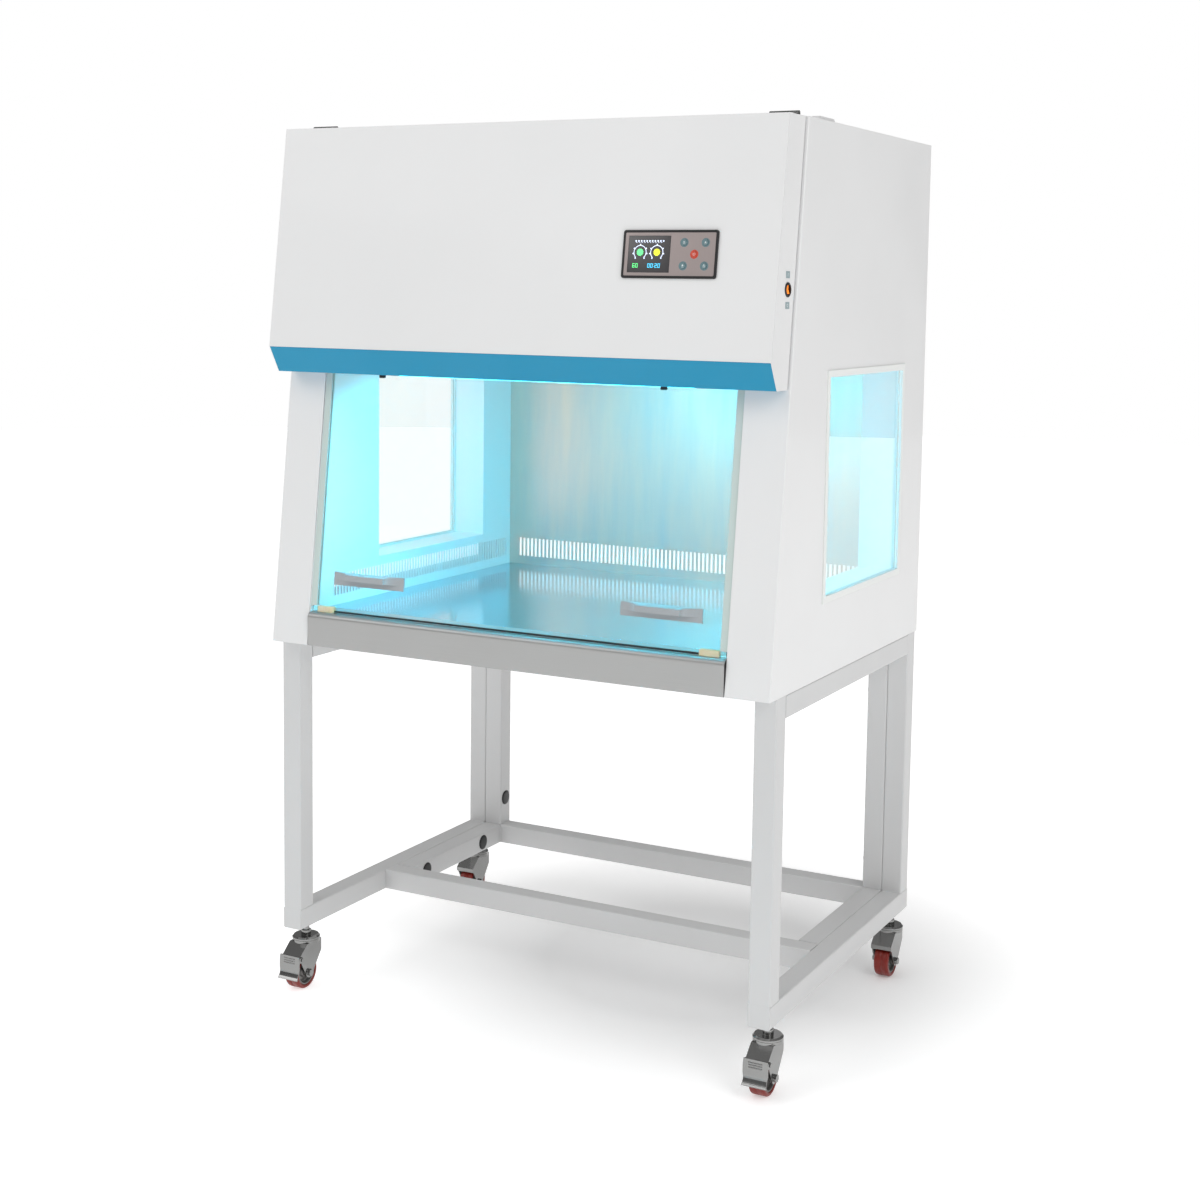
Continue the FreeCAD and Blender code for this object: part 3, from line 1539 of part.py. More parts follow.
def sash_stops():
    """Rubber buttons under the trim that the handles meet at the top of their travel."""
    stops = []
    low = S.trim_low_z - S.stop_height
    for side, sign in SIDES.items():
        stop = new_body(f"stop_{side}", (sign * S.stop_x, -S.stop_out, 0))
        turn(stop, [
            (0, low),
            (S.stop_radius - 1, low),
            (S.stop_radius, low + 1),
            (S.stop_radius, S.trim_low_z),
            (S.stop_radius / 2, S.trim_low_z),
            (S.stop_radius / 2, S.trim_low_z + S.panel_sheet),
            (S.stop_radius - 1, S.trim_low_z + S.panel_sheet),
            (0, S.trim_low_z + S.stop_radius),
        ])
        stops.append(stop)
    return keep("sash_stops", group("sash_stops", stops))


def hinge_axis():
    """Y and Z of the front panel's hinge pin."""
    return rear_line(S.top_z) + S.panel_gap * 0.75, S.top_z + S.hinge_pin_z


def hinge_leaf(name, sign, direction, segments, bore):
    """Leaf on the roof's side (1) or the panel's side (-1) of the pin, with its knuckles."""
    leaf = new_body(name)
    pin_y, pin_z = hinge_axis()
    half = S.hinge_width / 2
    clear = S.knuckle_radius + 1
    near = pin_y + direction * clear
    far = pin_y + direction * (clear + S.leaf_depth)
    low_y, high_y = (near, far) if direction > 0 else (far, near)
    centre = sign * S.hinge_x
    add(leaf, "XY", [block(centre - half, low_y, centre + half, high_y)], S.top_z, S.top_z + S.leaf)
    tab_low, tab_high = (pin_y, near) if direction > 0 else (near, pin_y)
    for start, end in segments:
        add(leaf, "YZ", [ring(pin_y, pin_z, S.knuckle_radius)], centre + start, centre + end)
        add(leaf, "XY", [block(centre + start, tab_low, centre + end, tab_high)], S.top_z,
            S.top_z + S.leaf)
    if bore:
        cut(leaf, "YZ", [ring(pin_y, pin_z, S.hinge_pin_radius + S.running_gap)],
            centre - half, centre + half)
    else:
        add(leaf, "YZ", [ring(pin_y, pin_z, S.hinge_pin_radius)], centre - half, centre + half)
    return leaf


def hinges():
    half = S.hinge_width / 2
    third = S.hinge_width / 6
    outer = [(-half, -third - S.fit / 2), (third + S.fit / 2, half)]
    middle = [(-third + S.fit / 2, third - S.fit / 2)]
    roof_leaves = []
    panel_leaves = []
    for side, sign in SIDES.items():
        roof_leaves.append(hinge_leaf(f"roof_leaf_{side}", sign, 1, outer, False))
        panel_leaves.append(hinge_leaf(f"panel_leaf_{side}", sign, -1, middle, True))
    keep("hinge_roof_leaves", group("hinge_roof_leaves", roof_leaves))
    keep("hinge_panel_leaves", group("hinge_panel_leaves", panel_leaves))


# Controls: drawn flat, with X right, Z up and Y into the panel, and leaned with the skin

def control_at(x=0, z=0):
    """A point on the skin, given from the middle of the control panel."""
    height = S.control_z + z / skin_stretch
    return (S.control_x + x, skin_y(height), height)


def housing_size(play=0):
    """Half width and half height of the housing behind the skin."""
    border = S.bezel_border + S.housing_wall
    return S.bezel_width / 2 - border + play, S.bezel_height / 2 - border + play


def control_housing():
    housing = new_body("housing", control_at(), -skin_lean)
    half_w = S.bezel_width / 2
    half_h = S.bezel_height / 2
    body_w, body_h = housing_size()
    add(housing, "XZ", [rounded(-half_w, -half_h, half_w, half_h, S.bezel_border)], -S.bezel, 0)
    add(housing, "XZ", [block(-body_w, -body_h, body_w, body_h)], -S.bezel / 2, S.housing_depth)
    cut(housing, "XZ", [rounded(S.bezel_border - half_w, S.bezel_border - half_h,
                                half_w - S.bezel_border, half_h - S.bezel_border,
                                S.bezel_border / 2)], -S.bezel, -S.bezel / 2)
    inner_w = body_w - S.housing_wall
    inner_h = body_h - S.housing_wall
    cut(housing, "XZ", [block(-inner_w, -inner_h, inner_w, inner_h)], -S.bezel,
        S.housing_depth - S.housing_wall)
    return keep("control_housing", housing)


def button_spots():
    """Places of the five buttons, from the middle of the control panel."""
    x, step = S.button_x, S.button_pitch
    return {
        "stop": (x, Size(0)),
        "up_left": (x - step, step),
        "up_right": (x + step, step),
        "low_left": (x - step, -step),
        "low_right": (x + step, -step),
    }


def control_fascia():
    fascia = new_body("face", control_at(), -skin_lean)
    border = S.bezel_border + S.fit / 2
    half_w = S.bezel_width / 2 - border
    half_h = S.bezel_height / 2 - border
    rear = -S.bezel / 2
    add(fascia, "XZ", [rounded(-half_w, -half_h, half_w, half_h, S.bezel_border / 2)],
        rear - S.fascia, rear)
    display_w = S.display_width / 2 + S.fit
    display_h = S.display_height / 2 + S.fit
    cut(fascia, "XZ", [block(-S.display_x - display_w, -display_h, display_w - S.display_x,
                             display_h)], rear - S.fascia, rear)
    holes = [ring(x, z, S.button_radius + S.fit) for x, z in button_spots().values()]
    cut(fascia, "XZ", holes, rear - S.fascia, rear)
    return keep("control_fascia", fascia)


def display():
    """Display window and the circuit board behind it."""
    module = new_body("module", control_at(), -skin_lean)
    face = -S.bezel / 2 - S.fascia + S.fit
    half_w = S.display_width / 2
    half_h = S.display_height / 2
    add(module, "XZ", [block(-S.display_x - half_w, -half_h, half_w - S.display_x, half_h)], face,
        S.board_depth)
    board_w, board_h = housing_size(-S.housing_wall - S.fit)
    add(module, "XZ", [block(-board_w, -board_h, board_w, board_h)], S.board_depth,
        S.board_depth + S.sheet)
    return keep("display", module)


def buttons():
    for name, (x, z) in button_spots().items():
        button = new_body("key_" + name, control_at(x, z), -skin_lean)
        face = -S.bezel / 2 - S.fascia - S.button_proud
        radius = S.button_radius
        add(button, "XZ", [ring(0, 0, radius)], face, S.board_depth / 3)
        add(button, "XZ", [ring(0, 0, radius / 2)], S.board_depth / 3, S.board_depth - 1.1)
        keep("button_" + name, button)


def switch_bezel():
    """Round bezel and barrel of the rocker switch in the panel's right flange."""
    bezel = new_body("switch_body", (half_panel, -S.switch_y, S.switch_z))
    face = 2
    floor = -S.well_radius
    turn(bezel, [
        (floor - 2, 0),
        (floor, 0),
        (floor, S.well_radius),
        (face, S.well_radius),
        (face, S.switch_radius - 1),
        (face - 1, S.switch_radius),
        (0, S.switch_radius),
        (0, S.barrel_radius),
        (floor - 2, S.barrel_radius),
    ], "H_Axis")
    axle = S.well_radius + S.fit
    add(bezel, "XZ", [ring(rocker_depth(), 0, 1)], -axle, axle)
    return keep("switch_bezel", bezel)


def rocker_depth():
    """X of the rocker's axle from the flange's outer face."""
    return -S.well_radius * 0.45


def rocker():
    """Rocker on its axle, with its upper half pressed in."""
    key = new_body("rocker_key", (half_panel + rocker_depth(), -S.switch_y, S.switch_z),
                   -S.rocker_tilt, (0, 1, 0))
    half_z = S.well_radius - 1.4
    half_y = S.rocker_width / 2
    add(key, "XZ", [[
        (-3, -half_z * 0.75),
        (2, -half_z),
        (4.6, -half_z * 0.96),
        (3.4, 0),
        (4.6, half_z * 0.96),
        (2, half_z),
        (-3, half_z * 0.75),
    ]], -half_y, half_y)
    cut(key, "XZ", [ring(0, 0, 1 + S.running_gap)], -half_y, half_y)
    return keep("rocker", key)


def power_inlet():
    """Three-pin appliance inlet in the back panel."""
    inlet = new_body("inlet")
    x, z = S.inlet_x, S.inlet_z
    half_w = S.inlet_width / 2
    half_h = S.inlet_height / 2
    face = S.back + S.inlet_flange
    add(inlet, "XZ", [rounded(x - half_w - S.inlet_ear, z - half_h - 2, x + half_w + S.inlet_ear,
                              z + half_h + 2, Size(4))], S.back, face)
    add(inlet, "XZ", [block(x - half_w, z - half_h, x + half_w, z + half_h)],
        S.back - S.inlet_depth, face)
    cut(inlet, "XZ", [block(x - half_w + 2, z - half_h + 2, x + half_w - 2, z + half_h - 2)],
        S.back - S.inlet_depth + 6, face)
    for step_x, step_z in ((-7, -2), (0, 2), (7, -2)):
        add(inlet, "XZ", [block(x + step_x - 1, z + step_z - 2, x + step_x + 1, z + step_z + 2)],
            S.back - S.inlet_depth + 5, S.back - 4)
    return keep("power_inlet", inlet)


def build():
    for side, sign in SIDES.items():
        side_frame(side, sign)
    cross_frame()
    frame_bolts()
    bolt_plugs()
    caster_stems()
    for corner in CASTERS:
        caster_fork(corner)
        caster_wheel(corner)
        if corner.startswith("f"):
            brake_pedal(corner)
    for side, sign in SIDES.items():
        side_panel(side, sign)
        inner_wall(side, sign)
    back_panel()
    roof_panel()
    base_panel()
    inner_back_wall()
    work_surface()
    front_bar()
    windows()
    cover_plate()
    diffuser()
    filter_rails()
    hepa_filter()
    blower_plate()
    blower_housing()
    blower_impeller()
    blower_motor()
    pre_filter()
    lamp("uv_lamp", -S.uv_lamp_y)
    lamp("led_lamp", -S.led_lamp_y)
    lamp_holders()
    sash_tracks()
    sash_glass()
    sash_handles()
    sash_pads()
    front_panel()
    panel_trim()
    sash_stops()
    hinges()
    control_housing()
    control_fascia()
    display()
    buttons()
    switch_bezel()
    rocker()
    power_inlet()


def check_and_write():
    """Stop on any failed object or bad shape, then write one file for each sub-part."""
    doc.recompute()
    for item in doc.Objects:
        if "Invalid" in item.State or "Error" in item.State:
            raise RuntimeError(f"{item.Label} failed: {item.State}")
    for label, piece in NODES.items():
        if piece.Shape.isNull() or not piece.Shape.isValid() or not piece.Shape.Solids:
            raise RuntimeError(f"{label} has no valid shape")
    os.makedirs("parts", exist_ok=True)
    for label, piece in NODES.items():
        piece.Shape.exportStep(os.path.join("parts", label + ".step"))
    print(f"{len(NODES)} sub-parts written")


build()
check_and_write()
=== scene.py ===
"""Finishes and small parts of a laminar flow cabinet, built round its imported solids."""

import json
import math

import bmesh
import bpy
from bpy.props import (
    FloatProperty,
    FloatVectorProperty,
    IntProperty,
    PointerProperty,
)
from mathutils import Matrix, Vector


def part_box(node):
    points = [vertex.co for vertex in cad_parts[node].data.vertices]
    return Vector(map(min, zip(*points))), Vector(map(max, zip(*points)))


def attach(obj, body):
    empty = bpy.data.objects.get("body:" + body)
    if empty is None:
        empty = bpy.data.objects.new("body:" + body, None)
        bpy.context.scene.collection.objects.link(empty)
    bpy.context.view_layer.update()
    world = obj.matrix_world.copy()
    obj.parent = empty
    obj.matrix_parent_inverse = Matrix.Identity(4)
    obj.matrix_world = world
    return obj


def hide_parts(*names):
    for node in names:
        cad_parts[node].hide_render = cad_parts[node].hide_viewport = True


bl_info = {
    "name": "Laminar Flow Cabinet Finishes",
    "version": (1, 0, 0),
    "blender": (4, 5, 0),
    "location": "View3D > Sidebar > Cabinet",
    "description": "Paints, glazes, lights and details a laminar flow cabinet",
    "category": "Object",
}

MM = 0.001

CAMERA_PLACE = (1.6084, -3.0380, 1.3398)
CAMERA_TURN = (-27.486, -5.699, 0.813)
CAMERA_SHIFT = (-0.01458, -0.10758)
SENSOR = 36.0
# Stretch of the broad streaks that are painted blurred reflections on brushed steel
REFLECTION_STREAK_STRETCH = (9.0, 9.0, 1.1)
VIEW_REACH = 100.0
KEY_LIGHTS = (((-3.2, -4.2, 4.2), 3.0, 58.0), ((4.0, -2.2, 3.4), 2.6, 62.0))
KEY_AIM = (0.0, 0.0, 0.9)
WORLD_LIGHT = (0.3, 0.64)
GLOSSY_SHADE = 0.45
# Centre, reach and glow of the painted shadow on the floor, and the glow of the floor away from it
SHADOW_PLACE = (0.12, 0.2, 0.0)
SHADOW_REACH = (0.3, 0.85)
SHADOW_GLOW = (0.1, 0.1, 0.1)
FLOOR_GLOW = (0.65, 0.65, 0.65)

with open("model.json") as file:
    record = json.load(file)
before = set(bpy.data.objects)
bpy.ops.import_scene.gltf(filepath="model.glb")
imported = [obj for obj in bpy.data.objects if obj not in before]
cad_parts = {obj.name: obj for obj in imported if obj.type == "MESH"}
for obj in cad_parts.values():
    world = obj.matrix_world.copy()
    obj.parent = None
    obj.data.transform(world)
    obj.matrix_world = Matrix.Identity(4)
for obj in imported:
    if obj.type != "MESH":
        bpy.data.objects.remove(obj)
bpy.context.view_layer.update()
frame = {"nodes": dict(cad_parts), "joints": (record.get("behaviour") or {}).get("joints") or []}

ROOT = "stand_and_cabinet"
DOOR = "door"
SASH = "sash"
CORNERS = ("fl", "fr", "rl", "rr")
# Middles of the buttons on the control panel, in millimetres from the panel's middle
BUTTON_SPOTS = {
    "stop": (44.7, 0.0),
    "up_left": (25.7, 19.0),
    "up_right": (63.7, 19.0),
    "low_left": (25.7, -19.0),
    "low_right": (63.7, -19.0),
}


def linear(red, green, blue):
    """Colour in scene units from one given in 0 to 255."""
    return tuple(
        value / 12.92 if value <= 0.04045 else ((value + 0.055) / 1.055) ** 2.4
        for value in (red / 255, green / 255, blue / 255)
    )


def joint(name):
    return next(entry for entry in frame["joints"] if entry["name"] == name)


def colour_choice(name, description, default):
    return FloatVectorProperty(
        name=name, description=description, default=default, subtype="COLOR", size=3, min=0, max=1
    )


def length_choice(name, description, default):
    return FloatProperty(
        name=name, description=description, default=default, min=0.0, unit="LENGTH",
        subtype="DISTANCE", precision=5,
    )


class PaintChoices(bpy.types.PropertyGroup):
    cabinet: colour_choice("Cabinet", "Powder coat of the cabinet", linear(229, 229, 229))
    stand: colour_choice("Stand", "Powder coat of the tube stand", linear(204, 204, 204))
    inside: colour_choice("Inside", "Paint of the chamber walls", linear(238, 241, 241))
    trim: colour_choice("Trim", "Coat of the strip under the front", linear(0, 136, 174))
    peel: FloatProperty(
        name="Peel", description="Bumps of the powder coat in one metre", default=520.0, min=1.0
    )
    peel_depth: length_choice("Peel depth", "Depth of the powder coat's bumps", 0.00004)
    edge: length_choice("Edge", "Radius that softens folded edges", 0.0009)


class MetalChoices(bpy.types.PropertyGroup):
    steel: colour_choice("Steel", "Brushed stainless steel", linear(206, 206, 204))
    zinc: colour_choice("Zinc", "Bright plate of the casters", linear(146, 146, 145))
    pull: colour_choice("Pull", "Finger pulls of the sash", linear(176, 182, 186))
    fascia: colour_choice("Fascia", "Face of the control panel", linear(172, 160, 158))
    grain_depth: length_choice("Grain depth", "Depth of the brushed lines", 0.00003)


class RubberChoices(bpy.types.PropertyGroup):
    tread: colour_choice("Tread", "Wheel treads", linear(124, 27, 15))
    hub: colour_choice("Hub", "Wheel hubs", linear(126, 124, 122))
    black: colour_choice("Black", "Plugs, stops and bezels", linear(26, 26, 27))
    seal: colour_choice("Seal", "Window seals", linear(232, 234, 232))
    pad: colour_choice("Pad", "Clips under the sash", linear(222, 217, 186))


class GlowChoices(bpy.types.PropertyGroup):
    lamp: colour_choice("Lamp", "Colour of the chamber lamps", (0.02, 0.72, 1.0))
    lamp_power: FloatProperty(
        name="Lamp power", description="Power of the light in the chamber", default=4.8, min=0.0,
        subtype="POWER", unit="POWER",
    )
    white_power: FloatProperty(
        name="White power", description="Power of the white lamp in the chamber", default=0.6,
        min=0.0, subtype="POWER", unit="POWER",
    )
    slot_power: FloatProperty(
        name="Slot power", description="Power of the light behind the slots", default=0.11,
        min=0.0, subtype="POWER", unit="POWER", precision=3,
    )
    screen: FloatProperty(
        name="Screen", description="Brightness of the display's marks", default=1.0, min=0.0
    )


class CeilingChoices(bpy.types.PropertyGroup):
    pitch: length_choice("Pitch", "Distance between the holes of the ceiling sheet", 0.016)
    open_share: FloatProperty(
        name="Open share", description="Hole size as a share of its cell", default=0.62,
        min=0.1, max=0.9, subtype="FACTOR",
    )
    rim: length_choice("Rim", "Plain border of the ceiling sheet", 0.018)
    pleat: length_choice("Pleat", "Distance between the filter's pleats", 0.0045)


class FastenerChoices(bpy.types.PropertyGroup):
    head: length_choice("Head", "Radius of the screw heads", 0.0038)
    height: length_choice("Height", "Height of the screw heads", 0.0016)
    plug: length_choice("Plug", "Radius of the plugs' heads", 0.0155)
    bead: length_choice("Bead", "Radius of the weld beads", 0.0019)
    bead_step: length_choice("Bead step", "Distance between the ripples of a weld", 0.003)


class ViewChoices(bpy.types.PropertyGroup):
    lens: FloatProperty(
        name="Lens", description="Focal length", default=54.75, min=1.0, unit="CAMERA"
    )
    floor: length_choice("Floor", "Radius of the floor", 14.0)
    sides: IntProperty(name="Sides", description="Corners of a turned piece", default=64, min=12)


# Shader groups that several finishes share


def shader_group(name, inputs, outputs):
    """New shader group with named sockets, and its two end nodes."""
    tree = bpy.data.node_groups.new(name, "ShaderNodeTree")
    for label, kind, default in inputs:
        socket = tree.interface.new_socket(label, in_out="INPUT", socket_type=kind)
        socket.default_value = default
    for label, kind in outputs:
        tree.interface.new_socket(label, in_out="OUTPUT", socket_type=kind)
    return tree, tree.nodes.new("NodeGroupInput"), tree.nodes.new("NodeGroupOutput")


def math_node(tree, operation, first, second=None):
    node = tree.nodes.new("ShaderNodeMath")
    node.operation = operation
    for socket, value in zip(node.inputs, (first, second)):
        if value is None:
            continue
        if isinstance(value, bpy.types.NodeSocket):
            tree.links.new(value, socket)
        else:
            socket.default_value = value
    return node.outputs[0]


def object_place(tree, stretch=None):
    """Object coordinates, stretched by a socket where one is given."""
    place = tree.nodes.new("ShaderNodeTexCoord").outputs["Object"]
    if stretch is None:
        return place
    scaled = tree.nodes.new("ShaderNodeVectorMath")
    scaled.operation = "MULTIPLY"
    tree.links.new(place, scaled.inputs[0])
    tree.links.new(stretch, scaled.inputs[1])
    return scaled.outputs[0]


def noise(tree, place, scale, detail=2.0, roughness=0.5):
    node = tree.nodes.new("ShaderNodeTexNoise")
    tree.links.new(place, node.inputs["Vector"])
    if isinstance(scale, bpy.types.NodeSocket):
        tree.links.new(scale, node.inputs["Scale"])
    else:
        node.inputs["Scale"].default_value = scale
    node.inputs["Detail"].default_value = detail
    node.inputs["Roughness"].default_value = roughness
    return node.outputs[0]


def spread(tree, value, low, high):
    """Stretch a value so that low becomes 0 and high becomes 1."""
    node = tree.nodes.new("ShaderNodeMapRange")
    tree.links.new(value, node.inputs["Value"])
    node.inputs["From Min"].default_value = low
    node.inputs["From Max"].default_value = high
    return node.outputs["Result"]


def peel_group():
    """Fine bumps of a sprayed coat, and a faint cloudiness of its tone."""
    tree, start, end = shader_group(
        "Coat relief",
        [("Scale", "NodeSocketFloat", 500.0)],
        [("Height", "NodeSocketFloat"), ("Tone", "NodeSocketFloat")],
    )
    place = object_place(tree)
    tree.links.new(noise(tree, place, start.outputs["Scale"], 3.0), end.inputs["Height"])
    tree.links.new(spread(tree, noise(tree, place, 2.4, 3.0), 0.35, 0.65), end.inputs["Tone"])
    return tree


def grain_group():
    """Long fine lines of brushed metal."""
    tree, start, end = shader_group(
        "Brushed grain",
        [("Stretch", "NodeSocketVector", (8.0, 2200.0, 2200.0))],
        [("Height", "NodeSocketFloat"), ("Tone", "NodeSocketFloat")],
    )
    place = object_place(tree, start.outputs["Stretch"])
    lines = noise(tree, place, 1.0, 4.0, 0.7)
    tree.links.new(lines, end.inputs["Height"])
    tree.links.new(spread(tree, lines, 0.3, 0.7), end.inputs["Tone"])
    return tree


def marks_group():
    """Faint wiping marks and dust that change the gloss."""
    tree, start, end = shader_group(
        "Handling marks",
        [("Scale", "NodeSocketFloat", 6.0)],
        [("Mask", "NodeSocketFloat")],
    )
    place = object_place(tree)
    broad = noise(tree, place, start.outputs["Scale"], 5.0, 0.6)
    tree.links.new(spread(tree, broad, 0.35, 0.7), end.inputs["Mask"])
    return tree


def soften_group():
    """Normal that rounds off sharp edges."""
    tree, start, end = shader_group(
        "Soft edges",
        [("Radius", "NodeSocketFloat", 0.001)],
        [("Normal", "NodeSocketVector")],
    )
    bevel = tree.nodes.new("ShaderNodeBevel")
    bevel.samples = 4
    tree.links.new(start.outputs["Radius"], bevel.inputs["Radius"])
    tree.links.new(bevel.outputs["Normal"], end.inputs["Normal"])
    return tree


GROUP_MAKERS = {
    "Coat relief": peel_group,
    "Brushed grain": grain_group,
    "Handling marks": marks_group,
    "Soft edges": soften_group,
}


def use_group(tree, name, **values):
    """Place a shared group in a material, with its own values."""
    node = tree.nodes.new("ShaderNodeGroup")
    node.node_tree = bpy.data.node_groups.get(name) or GROUP_MAKERS[name]()
    for label, value in values.items():
        node.inputs[label.replace("_", " ").capitalize()].default_value = value
    return node


def mix_colour(tree, mask, first, second):
    node = tree.nodes.new("ShaderNodeMix")
    node.data_type = "RGBA"
    sockets = [socket for socket in node.inputs if socket.type == "RGBA"]
    for socket, value in zip(sockets, (first, second)):
        if isinstance(value, bpy.types.NodeSocket):
            tree.links.new(value, socket)
        else:
            socket.default_value = (*value, 1.0)
    tree.links.new(mask, node.inputs["Factor"])
    return next(socket for socket in node.outputs if socket.type == "RGBA")


def finish(name, colour, roughness, metallic=0.0, relief="Coat relief", scale=500.0,
           stretch=(8.0, 2200.0, 2200.0), depth=0.00003, tone=0.03, gloss=0.06, edge=0.0008,
           coat=0.0, glow=None, power=0.0, scatter=0.0, painted_reflection=None):
    """Surface finish from a colour, a relief, an uneven gloss, soft edges and, where given, broad
    streaks of a second colour that are painted blurred reflections.
    """
    made = bpy.data.materials.get(name)
    if made:
        return made
    made = bpy.data.materials.new(name)
    made.use_nodes = True
    tree = made.node_tree
    shader = tree.nodes["Principled BSDF"]
    if relief == "Brushed grain":
        surface = use_group(tree, relief, stretch=stretch)
    else:
        surface = use_group(tree, relief, scale=scale)
    dark = tuple(value * (1 - tone) for value in colour)
    light = tuple(min(1.0, value * (1 + tone)) for value in colour)
    shade = mix_colour(tree, surface.outputs["Tone"], dark, light)
    # Broad streaks of a second colour: painted blurred reflections on the brushed steel.
    if painted_reflection:
        reflection_streaks = use_group(tree, "Brushed grain", stretch=REFLECTION_STREAK_STRETCH)
        shade = mix_colour(tree, reflection_streaks.outputs["Tone"], shade, painted_reflection)
    tree.links.new(shade, shader.inputs["Base Color"])
    marks = use_group(tree, "Handling marks")
    level = tree.nodes.new("ShaderNodeMapRange")
    tree.links.new(marks.outputs["Mask"], level.inputs["Value"])
    level.inputs["To Min"].default_value = max(0.02, roughness - gloss)
    level.inputs["To Max"].default_value = min(1.0, roughness + gloss)
    tree.links.new(level.outputs["Result"], shader.inputs["Roughness"])
    soft = use_group(tree, "Soft edges", radius=edge)
    bump = tree.nodes.new("ShaderNodeBump")
    bump.inputs["Distance"].default_value = depth
    tree.links.new(surface.outputs["Height"], bump.inputs["Height"])
    tree.links.new(soft.outputs["Normal"], bump.inputs["Normal"])
    tree.links.new(bump.outputs["Normal"], shader.inputs["Normal"])
    shader.inputs["Metallic"].default_value = metallic
    shader.inputs["Coat Weight"].default_value = coat
    shader.inputs["Coat Roughness"].default_value = 0.08
    if scatter:
        shader.inputs["Subsurface Weight"].default_value = scatter
        shader.inputs["Subsurface Scale"].default_value = 0.004
    if glow:
        shader.inputs["Emission Color"].default_value = (*glow, 1.0)
        shader.inputs["Emission Strength"].default_value = power
    return made


def clear_glass(name, tint):
    """Clear pane: light passes straight through it, and only its gloss and edges show."""
    made = bpy.data.materials.get(name)
    if made:
        return made
    made = bpy.data.materials.new(name)
    made.use_nodes = True
    tree = made.node_tree
    shader = tree.nodes["Principled BSDF"]
    output = next(node for node in tree.nodes if node.type == "OUTPUT_MATERIAL")
    marks = use_group(tree, "Handling marks", scale=9.0)
    level = tree.nodes.new("ShaderNodeMapRange")
    tree.links.new(marks.outputs["Mask"], level.inputs["Value"])
    level.inputs["To Min"].default_value = 0.0
    level.inputs["To Max"].default_value = 0.012
    tree.links.new(level.outputs["Result"], shader.inputs["Roughness"])
    shader.inputs["Base Color"].default_value = (*tint, 1.0)
    shader.inputs["Transmission Weight"].default_value = 1.0
    shader.inputs["IOR"].default_value = 1.45
    shader.inputs["Metallic"].default_value = 0.0
    path = tree.nodes.new("ShaderNodeLightPath")
    passing = math_node(
        tree, "MAXIMUM", path.outputs["Is Shadow Ray"], path.outputs["Is Diffuse Ray"]
    )
    through = tree.nodes.new("ShaderNodeBsdfTransparent")
    through.inputs["Color"].default_value = (0.96, 0.98, 0.975, 1.0)
    mix = tree.nodes.new("ShaderNodeMixShader")
    tree.links.new(passing, mix.inputs[0])
    tree.links.new(shader.outputs[0], mix.inputs[1])
    tree.links.new(through.outputs[0], mix.inputs[2])
    tree.links.new(mix.outputs[0], output.inputs["Surface"])
    return made


def loose_boxes(node):
    """Boxes round the separate solids of a node, as pairs of corners."""
    work = bmesh.new()
    work.from_mesh(frame["nodes"][node].data)
    work.verts.ensure_lookup_table()
    left = set(work.verts)
    boxes = []
    while left:
        front = [left.pop()]
        points = []
        while front:
            vertex = front.pop()
            points.append(vertex.co.copy())
            for edge in vertex.link_edges:
                other = edge.other_vert(vertex)
                if other in left:
                    left.remove(other)
                    front.append(other)
        low = Vector(min(point[axis] for point in points) for axis in range(3))
        high = Vector(max(point[axis] for point in points) for axis in range(3))
        boxes.append((low, high))
    work.free()
    return boxes


def dress(node, material):
    """Give a solid of the frame its finish."""
    slots = frame["nodes"][node].data.materials
    slots.clear()
    slots.append(material)


def black_plastic(context):
    colour = context.scene.cabinet_rubber.black
    return finish("Black plastic", colour, 0.42, depth=0.00002, scale=900.0, tone=0.1, edge=0.0004)


def zinc_plate(context):
    metals = context.scene.cabinet_metal
    return finish("Bright zinc", metals.zinc, 0.16, metallic=1.0, scale=260.0, depth=0.00001,
                  tone=0.07, gloss=0.06, edge=0.0007)


def brushed_steel(context, name="Brushed steel", stretch=(8.0, 2200.0, 2200.0), roughness=0.3,
                  painted_reflection=None):
    metals = context.scene.cabinet_metal
    return finish(name, metals.steel, roughness, metallic=1.0, relief="Brushed grain",
                  stretch=stretch, depth=metals.grain_depth, tone=0.05, gloss=0.015, edge=0.001,
                  painted_reflection=painted_reflection)


def screen_ink(name, colour, context):
    power = context.scene.cabinet_glow.screen
    return finish(name, colour, 0.4, depth=0.0, glow=tuple(colour), power=power, edge=0.0001)


# Meshes


def piece_from(name, mesh, body, material=None):
    """Object at the origin for a finished mesh, riding on a body."""
    made = bpy.data.objects.new(name, mesh)
    bpy.context.scene.collection.objects.link(made)
    if material is not None:
        mesh.materials.clear()
        mesh.materials.append(material)
    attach(made, body)
    return made


def mesh_from(name, build, smooth=False):
    """Mesh made by a function that fills a bmesh; faces are merged and turned outwards."""
    work = bmesh.new()
    build(work)
    bmesh.ops.remove_doubles(work, verts=work.verts, dist=1e-6)
    bmesh.ops.recalc_face_normals(work, faces=work.faces)
    mesh = bpy.data.meshes.new(name)
    work.to_mesh(mesh)
    work.free()
    for face in mesh.polygons:
        face.use_smooth = smooth
    return mesh


def lathe(work, outline, sides, at, axis="X"):
    """Turn a closed outline of (along, radius) points about an axis through a point."""
    rings = []
    for along, radius in outline:
        ring = []
        for number in range(sides if radius > 1e-7 else 1):
            angle = 2 * math.pi * number / sides
            across, up = radius * math.cos(angle), radius * math.sin(angle)
            local = Vector((along, across, up)) if axis == "X" else Vector((across, up, along))
            ring.append(work.verts.new(Vector(at) + local))
        rings.append(ring)
    for first, second in zip(rings, rings[1:] + rings[:1]):
        if len(first) == 1 and len(second) == 1:
            continue
        for number in range(sides):
            following = (number + 1) % sides
            corners = [
                first[number % len(first)],
                first[following % len(first)],
                second[following % len(second)],
                second[number % len(second)],
            ]
            unique = list(dict.fromkeys(corners))
            if len(unique) > 2:
                work.faces.new(unique)


